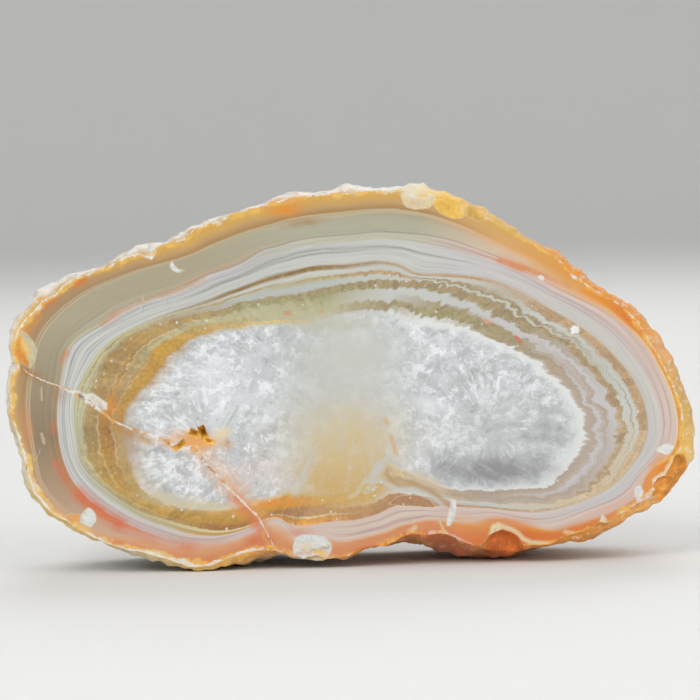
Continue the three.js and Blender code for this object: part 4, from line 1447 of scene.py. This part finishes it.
class AgateFace(Finish):
    """Bands, crystals, stains, patches and the crack, on the polished face or on the sawn back."""

    def __init__(self, look: FaceLook, bands: bpy.types.NodeTree, crystals: bpy.types.NodeTree) -> None:
        """Dresses the face.

        Args:
            look: Numbers of this side.
            bands: The banding group.
            crystals: The crystals group.
        """
        self.name = look.name
        super().__init__()
        graph = self.graph
        banding = self.group(bands)
        quartz = self.group(crystals, Contrast=look.contrast, Tooth=banding["Tooth"])
        inner = graph.rises(banding["Band"], 4.96, 5.08)
        lit = graph.mix(inner, banding["Color"], quartz["Color"])
        milky, _, bubbly = graph.split(graph.attribute("quartz", "Vector"))[:3]
        lit = graph.mix(graph.times(graph.rises(milky, 0.1, 0.9), inner, 0.6), lit, Tone.MILKY)
        lit = self._stained(lit, banding["Band"])
        lit, healed = self._cracked(lit)
        lit = graph.mix(graph.attribute("detail", "Alpha"), lit, graph.attribute("detail", "Color"))
        # Painted glints: white specks on the bubbly quartz and the sugary druse stand in for light caught by
        # the crystals.
        sugary = graph.rises(graph.math("ABSOLUTE", banding["Grain"]), 0.01, 0.1)
        glint_zone = graph.plus(graph.times(bubbly, inner), sugary)
        lit = graph.mix(graph.times(quartz["Painted glint"], glint_zone, 0.8), lit, Tone.BRIGHT_WHITE)
        lit, crust, lump = self._crusted(lit)
        if look.dullness:
            lit = graph.mix(look.dullness, lit, Tone.GREY_TAN)
        graph.feed(self.shader.inputs["Base Color"], lit)
        graph.feed(self.shader.inputs["Roughness"], graph.math("MULTIPLY_ADD", crust, 0.4, look.roughness))
        self.shader.inputs["IOR"].default_value = 1.54
        self.bump(graph.plus(graph.times(healed, -0.8), graph.times(crust, lump, 9.0)), 0.5, look.relief_mm)

    def _stained(self, lit: bpy.types.NodeSocket, band: bpy.types.NodeSocket) -> bpy.types.NodeSocket:
        """Lays the soft stains, the crisp patches and the tints on them over the stone.

        Args:
            lit: The stone's colour.
            band: The count of belts.

        Returns:
            The colour with its marks.
        """
        graph = self.graph
        place = graph.place()
        along = graph.split(graph.ring(0.35, 0.0))[0]
        streak = graph.noise(graph.xyz(along, graph.times(band, 1.8), 0.0), 1.0, 3, 0.6)
        blotch = graph.plus(graph.times(streak, 1.5), graph.times(graph.noise(place, 0.8, 4, 0.65), 1.3), 1.0)
        stained = graph.math("MULTIPLY", graph.attribute("stain", "Alpha"), blotch, clamp=True)
        lit = graph.mix(stained, lit, graph.attribute("stain", "Color"))
        nibbled = graph.times(graph.noise(place, 1.5, 4, 0.65), 0.2)
        ragged = graph.plus(graph.attribute("patch", "Alpha"), nibbled)
        clotted = graph.math("MULTIPLY_ADD", graph.noise(place, 1.6, 5, 0.72), 0.8, 0.96)
        inside = graph.scaled(graph.attribute("patch", "Color"), clotted)
        halo = graph.times(graph.rises(ragged, 0.40, 0.46), graph.falls(ragged, 0.47, 0.53), 0.4)
        lit = graph.mix(halo, lit, Tone.CREAM)
        lit = graph.mix(graph.times(graph.rises(ragged, 0.47, 0.53), 0.93), lit, inside)
        return graph.mix(graph.attribute("tint", "Alpha"), lit, graph.attribute("tint", "Color"))

    def _cracked(self, lit: bpy.types.NodeSocket) -> tuple[bpy.types.NodeSocket, bpy.types.NodeSocket]:
        """Lays the healed crack over the stone, and gives the colour and where the crack lies.

        Args:
            lit: The stone's colour.

        Returns:
            The colour, and where the crack is.
        """
        graph = self.graph
        place = graph.place()
        width = graph.attribute("crack_width")
        wander = graph.times(graph.noise(place, 0.7, 4, 0.65), 0.8)
        away = graph.math("ABSOLUTE", graph.plus(graph.attribute("crack"), wander))
        swells = graph.times(graph.noise(place, 0.45, 5, 0.75), 3.2)
        away = graph.plus(graph.math("DIVIDE", away, width), swells)
        healed = graph.falls(away, 0.7, 1.4)
        sugar = graph.rises(graph.noise(place, 0.9, 4, 0.7), -0.06, 0.06)
        brown = graph.rises(graph.noise(place, 0.4, 2), -0.04, 0.1)
        seam = graph.mix(sugar, graph.mix(brown, Tone.LIGHT_ORANGE, Tone.RUST), Tone.RIND_WHITE)
        return graph.mix(graph.times(healed, 0.8), lit, seam), healed

    def _crusted(self, lit: bpy.types.NodeSocket) -> tuple[bpy.types.NodeSocket, ...]:
        """Lays the lumpy crust along the edge, and gives the colour, where the crust lies and its lumps.

        Args:
            lit: The stone's colour.

        Returns:
            The colour, the crust's mask and its lumps.
        """
        graph = self.graph
        place = graph.place()
        ragged = graph.plus(graph.attribute("crust"), graph.times(graph.noise(place, 0.6, 5, 0.72), 2.4), 0.1)
        sunny = graph.rises(graph.noise(place, 0.5, 4, 0.7), -0.1, 0.1)
        sunny = graph.mix(sunny, graph.attribute("rind_tone", "Color"), Tone.SUNNY)
        fringe = graph.plus(graph.attribute("crust"), graph.times(graph.noise(place, 0.32, 5, 0.7), 3.8))
        lit = graph.mix(graph.times(graph.falls(fringe, 0.1, 0.6), 0.75), lit, sunny)
        crust = graph.falls(ragged, -0.06, 0.1)
        distance, _ = graph.cells(place, 0.9)
        lump = graph.math("SUBTRACT", 0.5, distance)
        tone = graph.mix(0.8, graph.attribute("rind_tone", "Color"), Tone.RIND_WHITE)
        # Painted shade: each crust lump is lighter in its middle and darker towards its rim, as if lit from
        # the front.
        tone = graph.scaled(tone, graph.math("MULTIPLY_ADD", lump, 0.25, 1.0))
        return graph.mix(graph.times(crust, 0.92), lit, tone), crust, lump


class RindSkin(Finish):
    """The rough white skin of the nodule, stained orange underneath, with the broken chips."""

    name = "rough rind"

    def __init__(self) -> None:
        """Dresses the rind."""
        super().__init__()
        graph = self.graph
        place = graph.place()
        fine = graph.noise(place, 1.6, 5, 0.7)
        distance, _ = graph.cells(place, 0.8)
        tone = graph.attribute("rind_tone", "Color")
        plain = graph.attribute("deep")
        grey = graph.rises(graph.noise(place, 0.25, 4, 0.6), 0.02, 0.22)
        lit = graph.mix(graph.times(grey, plain, 0.5), tone, Tone.RIND_GREY)
        lit = graph.mix(graph.times(graph.rises(fine, 0.04, 0.16), 0.6), lit, Tone.RIND_WHITE)
        stain = graph.rises(graph.noise(place, 0.16, 3, 0.6), 0.06, 0.16)
        lit = graph.mix(graph.times(stain, 0.5), lit, Tone.GOLDEN)
        # Painted shade: the rind is greyed where the cells meet, in the hollows between its bumped lumps,
        # more on the plain rind.
        shade_between_lumps = graph.times(graph.rises(distance, 0.45, 0.8), graph.math("MULTIPLY_ADD", plain, 0.45, 0.05))
        lit = graph.mix(shade_between_lumps, lit, Tone.GREY_TAN)
        chip = graph.plus(graph.attribute("chip", "Alpha"), graph.times(fine, 0.6))
        chip = graph.rises(chip, 0.35, 0.6)
        mottle = graph.plus(graph.times(fine, 0.9), graph.times(graph.noise(place, 0.5, 3, 0.6), 1.6), 1.05)
        chipped = graph.mix(graph.rises(fine, 0.08, 0.2), graph.attribute("chip", "Color"), Tone.SUNNY)
        chipped = graph.scaled(chipped, mottle)
        lit = graph.mix(chip, lit, chipped)
        graph.feed(self.shader.inputs["Base Color"], lit)
        graph.feed(self.shader.inputs["Roughness"], graph.math("MULTIPLY_ADD", chip, -0.35, 0.72))
        self.shader.inputs["IOR"].default_value = 1.5
        self.bump(graph.plus(fine, graph.times(distance, -0.8)), 0.8, 0.22)


@dataclass
class Slice:
    """The slice's skin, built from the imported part."""

    face_step_mm: float = 0.30
    back_step_mm: float = 0.7
    wart_mm: float = 0.55
    wart_size_mm: float = 1.9
    sugar_mm: float = 0.10
    sugar_size_mm: float = 0.75
    edge_jitter_mm: float = 0.16
    sharp_degrees: float = 38.0

    def build(self) -> bpy.types.Object:
        """Builds the skin with its values and finishes.

        Returns:
            The finished piece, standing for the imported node.
        """
        mesh = bmesh.new()
        mesh.from_mesh(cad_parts[NODE].data)
        bmesh.ops.remove_doubles(mesh, verts=mesh.verts, dist=1e-6)
        low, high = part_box(NODE)
        self.front, self.back = low.y, high.y
        self._refine_sides(mesh)
        for plane, step in ((self.front, self.face_step_mm), (self.back, self.back_step_mm)):
            self._grid(mesh, plane, step * MM)
        bmesh.ops.triangulate(mesh, faces=[f for f in mesh.faces if len(f.verts) > 4])
        mesh.normal_update()
        edges = [self._edge_points(mesh, plane) for plane in (self.front, self.back)]
        self._roughen(mesh)
        mesh.normal_update()
        for e in mesh.edges:
            e.smooth = len(e.link_faces) < 2 or e.calc_face_angle(0.0) < math.radians(self.sharp_degrees)
        for face in mesh.faces:
            face.smooth = True
            face.material_index = self._side(face)
        piece = new_object(mesh, "slice_skin")
        self._write_values(piece.data, *edges)
        self._dress(piece)
        return piece

    @staticmethod
    def _flat(face: bmesh.types.BMFace, *planes: float) -> bool:
        """Says whether a face lies in one of the planes of the front and the back."""
        return any(all(abs(v.co.y - plane) < 1e-6 for v in face.verts) for plane in planes)

    def _refine_sides(self, mesh: bmesh.types.BMesh) -> None:
        """Cuts the rind's edges in three, fine enough for its warts."""
        sides = [f for f in mesh.faces if not self._flat(f, self.front, self.back)]
        edges = dict.fromkeys(e for f in sides for e in f.edges)
        bmesh.ops.subdivide_edges(mesh, edges=list(edges), cuts=2, use_grid_fill=True)

    def _grid(self, mesh: bmesh.types.BMesh, plane: float, step: float) -> None:
        """Turns the flat face at a plane into a fine square grid that ends at its outline.

        Args:
            mesh: The slice.
            plane: Where the flat face lies, across the thickness.
            step: The grid's step in metres.
        """
        flat = [f for f in mesh.faces if self._flat(f, plane)]
        edges = dict.fromkeys(e for f in flat for e in f.edges)
        inner = [e for e in edges if all(self._flat(g, plane) for g in e.link_faces)]
        bmesh.ops.dissolve_limit(mesh, angle_limit=0.02, verts=[], edges=inner)
        flat = [f for f in mesh.faces if self._flat(f, plane)]
        edges = dict.fromkeys(e for f in flat for e in f.edges)
        geometry = [*flat, *edges, *dict.fromkeys(v for f in flat for v in f.verts)]
        low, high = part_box(NODE)
        for axis, normal in ((0, Vector((1, 0, 0))), (2, Vector((0, 0, 1)))):
            for place in np.arange(low[axis] + step / 2, high[axis], step):
                cut = bmesh.ops.bisect_plane(
                    mesh, geom=geometry, dist=1e-8, plane_co=normal * place, plane_no=normal,
                )
                geometry = cut["geom"]

    def _edge_points(self, mesh: bmesh.types.BMesh, plane: float) -> np.ndarray:
        """Gives the places on the outline of the flat face.

        Args:
            mesh: The slice.
            plane: Where the flat face lies.

        Returns:
            The places, in metres.
        """
        rim = {}
        for e in mesh.edges:
            sides = [self._flat(f, plane) for f in e.link_faces]
            if any(sides) and not all(sides):
                rim.update(dict.fromkeys(e.verts))
        return np.array([v.co[:] for v in rim])

    def _roughen(self, mesh: bmesh.types.BMesh) -> None:
        """Raises warts and sugar on the rind, and makes the polished edge ragged.

        Args:
            mesh: The slice.
        """
        for vertex in mesh.verts:
            place = vertex.co / MM
            flats = sum(self._flat(f, self.front, self.back) for f in vertex.link_faces)
            if flats == len(vertex.link_faces):
                continue
            if flats:
                shake = noise.noise_vector(place / 0.9) * self.edge_jitter_mm
                vertex.co += Vector((shake.x, 0, shake.z)) * MM
            elif not self._in_vug(vertex.co):
                wart = 0.5 - noise.voronoi(place / self.wart_size_mm)[0][0]
                sugar = noise.noise(place / self.sugar_size_mm)
                vertex.co += vertex.normal * (wart * self.wart_mm + sugar * self.sugar_mm) * MM
                inset = RIND_INSET_MM * MM
                vertex.co.y = min(max(vertex.co.y, self.front + inset), self.back - inset)
            vertex.co.z = max(vertex.co.z, 0.0)

    def _in_vug(self, place: Vector) -> bool:
        """Says whether a place is in the small open pits behind the crack, whose facets stay flat.

        Args:
            place: The place, in metres.

        Returns:
            Whether it is in a pit.
        """
        across, up = FaceChart.drawn(np.array([place]))
        (left, top), (right, low) = on_face(VUG[0]), on_face(VUG[1])
        near = place.y < self.front + VUG_DEPTH_MM * MM
        return bool(left < across[0] < right and low < up[0] < top and near)

    def _side(self, face: bmesh.types.BMFace) -> int:
        """Gives the finish of a face: 0 polished, 1 rind, 2 sawn."""
        if self._flat(face, self.front):
            return 0
        return 2 if self._flat(face, self.back) else 1

    def _write_values(self, data: bpy.types.Mesh, edge: np.ndarray, back_edge: np.ndarray) -> None:
        """Writes what the finishes read at every vertex.

        Args:
            data: The skin's mesh.
            edge: Places on the outline of the polished face.
            back_edge: Places on the outline of the sawn back.
        """
        points = np.empty(len(data.vertices) * 3)
        data.vertices.foreach_get("co", points)
        points = points.reshape(-1, 3)
        across, up = FaceChart.drawn(points)
        bearing, radius = FaceChart.polar(across, up)
        behind = points[:, 1] > self.back - 1e-6
        front_values, back_values = (FaceChart(e).values(bearing, radius) for e in (edge, back_edge))
        numbers = {name: np.where(behind, back_values[name], value) for name, value in front_values.items()}
        for name, knots in (("teeth", TEETH), ("lines", LINES), ("fur", FUR)):
            numbers[name] = by_bearing(knots, bearing)
        for number, stretch in enumerate(STRETCHES):
            peak = tuple((other.bearing, float(other is stretch)) for other in STRETCHES)
            numbers[f"stretch_{number:02d}"] = by_bearing(peak, bearing)
        marks = Marks(across, up)
        numbers["crack"], numbers["crack_width"] = marks.crack()
        tones = np.array([linear(tone) for _, tone in RIND_TONES]).T
        bearings = [b for b, _ in RIND_TONES]
        rind = np.stack([np.interp(bearing, bearings, part, period=360) for part in tones], axis=1)
        behind_face = (points[:, 1] - self.front) / MM
        before = np.where(behind, 0.0, 1.0)[:, None]
        numbers["deep"] = np.clip(behind_face / by_bearing(RIND_FADES_MM, bearing), 0, RIND_FADES_TO)
        deep = numbers["deep"][:, None]
        shallow = np.clip((CHIP_DEPTH_MM - behind_face) / CHIP_FADE_MM, 0, 1)[:, None]
        colours = {
            "stain": marks.soft((*STAINS, *SMEARS)),
            "patch": marks.crisp(PATCHES) * before,
            "tint": marks.soft(TINTS) * before,
            "detail": marks.soft(STROKES) * before,
            "chip": marks.crisp(CHIP_COLOURS) * shallow,
            "rind_tone": rind * (1 - deep) + np.array(linear(Tone.RIND_WHITE)) * deep,
        }
        turn = np.radians(bearing)
        vectors = {
            "turn": np.stack([np.sin(turn), np.cos(turn), radius], axis=1),
            "needle": marks.needles(),
            "quartz": marks.quartz(),
        }
        for kind, key, layers in (
            ("FLOAT", "value", numbers),
            ("FLOAT_COLOR", "color", colours),
            ("FLOAT_VECTOR", "vector", vectors),
        ):
            for name, values in layers.items():
                layer = data.attributes.new(name, kind, "POINT")
                layer.data.foreach_set(key, values.astype(np.float32).ravel())

    @staticmethod
    def _dress(piece: bpy.types.Object) -> None:
        """Gives the skin its three finishes and its place in the part."""
        bands = Banding().build()
        crystals = Crystals().build()
        finishes = (AgateFace(POLISHED, bands, crystals), RindSkin(), AgateFace(SAWN, bands, crystals))
        for finish in finishes:
            piece.data.materials.append(finish.material)
        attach(piece, "root")
        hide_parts(NODE)


@dataclass
class Studio:
    """The pale cove, the soft lights and the camera."""

    camera_distance_mm: float = 470.0
    camera_height_mm: float = 58.0
    target_mm: tuple[float, float, float] = (0.13, -9.5, 29.6)
    lens_mm: float = 179.4
    cove_radius_m: float = 2.2
    cove_bend_m: float = 0.7
    cove_height_m: float = 2.4

    def build(self) -> None:
        """Sets up the cove, lights, world, camera and colours."""
        self._cove()
        self._light("key", (-0.45, -0.75, 0.75), 0.6, 5.0)
        self._light("fill", (0.6, -0.6, 0.5), 0.7, 3.0)
        self._light("back", (0.1, 0.6, 0.7), 0.6, 2.5)
        world = bpy.data.worlds.new("studio")
        world.use_nodes = True
        shade = world.node_tree.nodes["Background"]
        shade.inputs["Color"].default_value = (0.9, 0.9, 0.9, 1)
        shade.inputs["Strength"].default_value = 0.9
        bpy.context.scene.world = world
        bpy.context.scene.view_settings.view_transform = "Standard"
        self._camera()

    def _cove(self) -> None:
        """Makes the pale round floor, which bends up into a wall so that no horizon shows."""
        turns = [math.radians(k * 9) for k in range(11)]
        inner, bend = self.cove_radius_m - self.cove_bend_m, self.cove_bend_m
        profile = [(0.0, 0.0)]
        profile += [(inner + bend * math.sin(turn), bend - bend * math.cos(turn)) for turn in turns]
        profile += [(self.cove_radius_m, self.cove_height_m)]
        mesh = bmesh.new()
        corners = [mesh.verts.new((across, 0, up)) for across, up in profile]
        lines = [mesh.edges.new(pair) for pair in zip(corners, corners[1:])]
        bmesh.ops.spin(
            mesh, geom=[*corners, *lines], cent=(0, 0, 0), axis=(0, 0, 1),
            angle=math.tau, steps=72, use_merge=True,
        )
        bmesh.ops.remove_doubles(mesh, verts=mesh.verts, dist=1e-6)
        bmesh.ops.recalc_face_normals(mesh, faces=mesh.faces)
        for face in mesh.faces:
            face.smooth = True
        cove = new_object(mesh, "cove")
        material = bpy.data.materials.new("pale cove")
        material.use_nodes = True
        shader = material.node_tree.nodes["Principled BSDF"]
        shader.inputs["Base Color"].default_value = (0.72, 0.72, 0.71, 1)
        shader.inputs["Roughness"].default_value = 0.8
        cove.data.materials.append(material)

    @staticmethod
    def _light(name: str, place: tuple[float, float, float], size: float, power: float) -> None:
        """Adds a square soft light that looks at the middle of the slice.

        Args:
            name: The light's name.
            place: Where it stands, in metres.
            size: Its side in metres.
            power: Its power in watts.
        """
        lamp = bpy.data.lights.new(name, "AREA")
        lamp.size = size
        lamp.energy = power
        holder = bpy.data.objects.new(name, lamp)
        holder.location = place
        aim = Vector((0, 0, 0.026)) - Vector(place)
        holder.rotation_euler = aim.to_track_quat("-Z", "Y").to_euler()
        bpy.context.scene.collection.objects.link(holder)

    def _camera(self) -> None:
        """Places the camera at the photograph's angle, rolled as the photograph was taken."""
        target = Vector(self.target_mm) * MM
        spot = Vector((target.x, target.y - self.camera_distance_mm * MM, self.camera_height_mm * MM))
        forward = (target - spot).normalized()
        right = forward.cross(Vector((0, 0, 1))).normalized()
        up = right.cross(forward)
        roll = math.radians(LEAN_DEG)
        turned_up = up * math.cos(roll) + right * math.sin(roll)
        turned_right = right * math.cos(roll) - up * math.sin(roll)
        lens = bpy.data.cameras.new("camera")
        lens.lens = self.lens_mm
        lens.sensor_width = 36
        camera = bpy.data.objects.new("camera", lens)
        turned = Matrix((turned_right, turned_up, -forward)).transposed()
        camera.matrix_world = Matrix.Translation(spot) @ turned.to_4x4()
        bpy.context.scene.collection.objects.link(camera)
        bpy.context.scene.camera = camera


def plain(bounds: tuple) -> list:
    """Turns the two corners of a box into plain lists."""
    return [[float(c) for c in corner] for corner in bounds]


def main() -> None:
    """Builds the studio and the slice."""
    logging.basicConfig(level=logging.INFO, format="%(name)s: %(message)s")
    Studio().build()
    piece = Slice().build()
    triangles = sum(len(p.vertices) - 2 for p in piece.data.polygons)
    log.info("%s: %d triangles", piece.name, triangles)


if __name__ == "__main__":
    main()
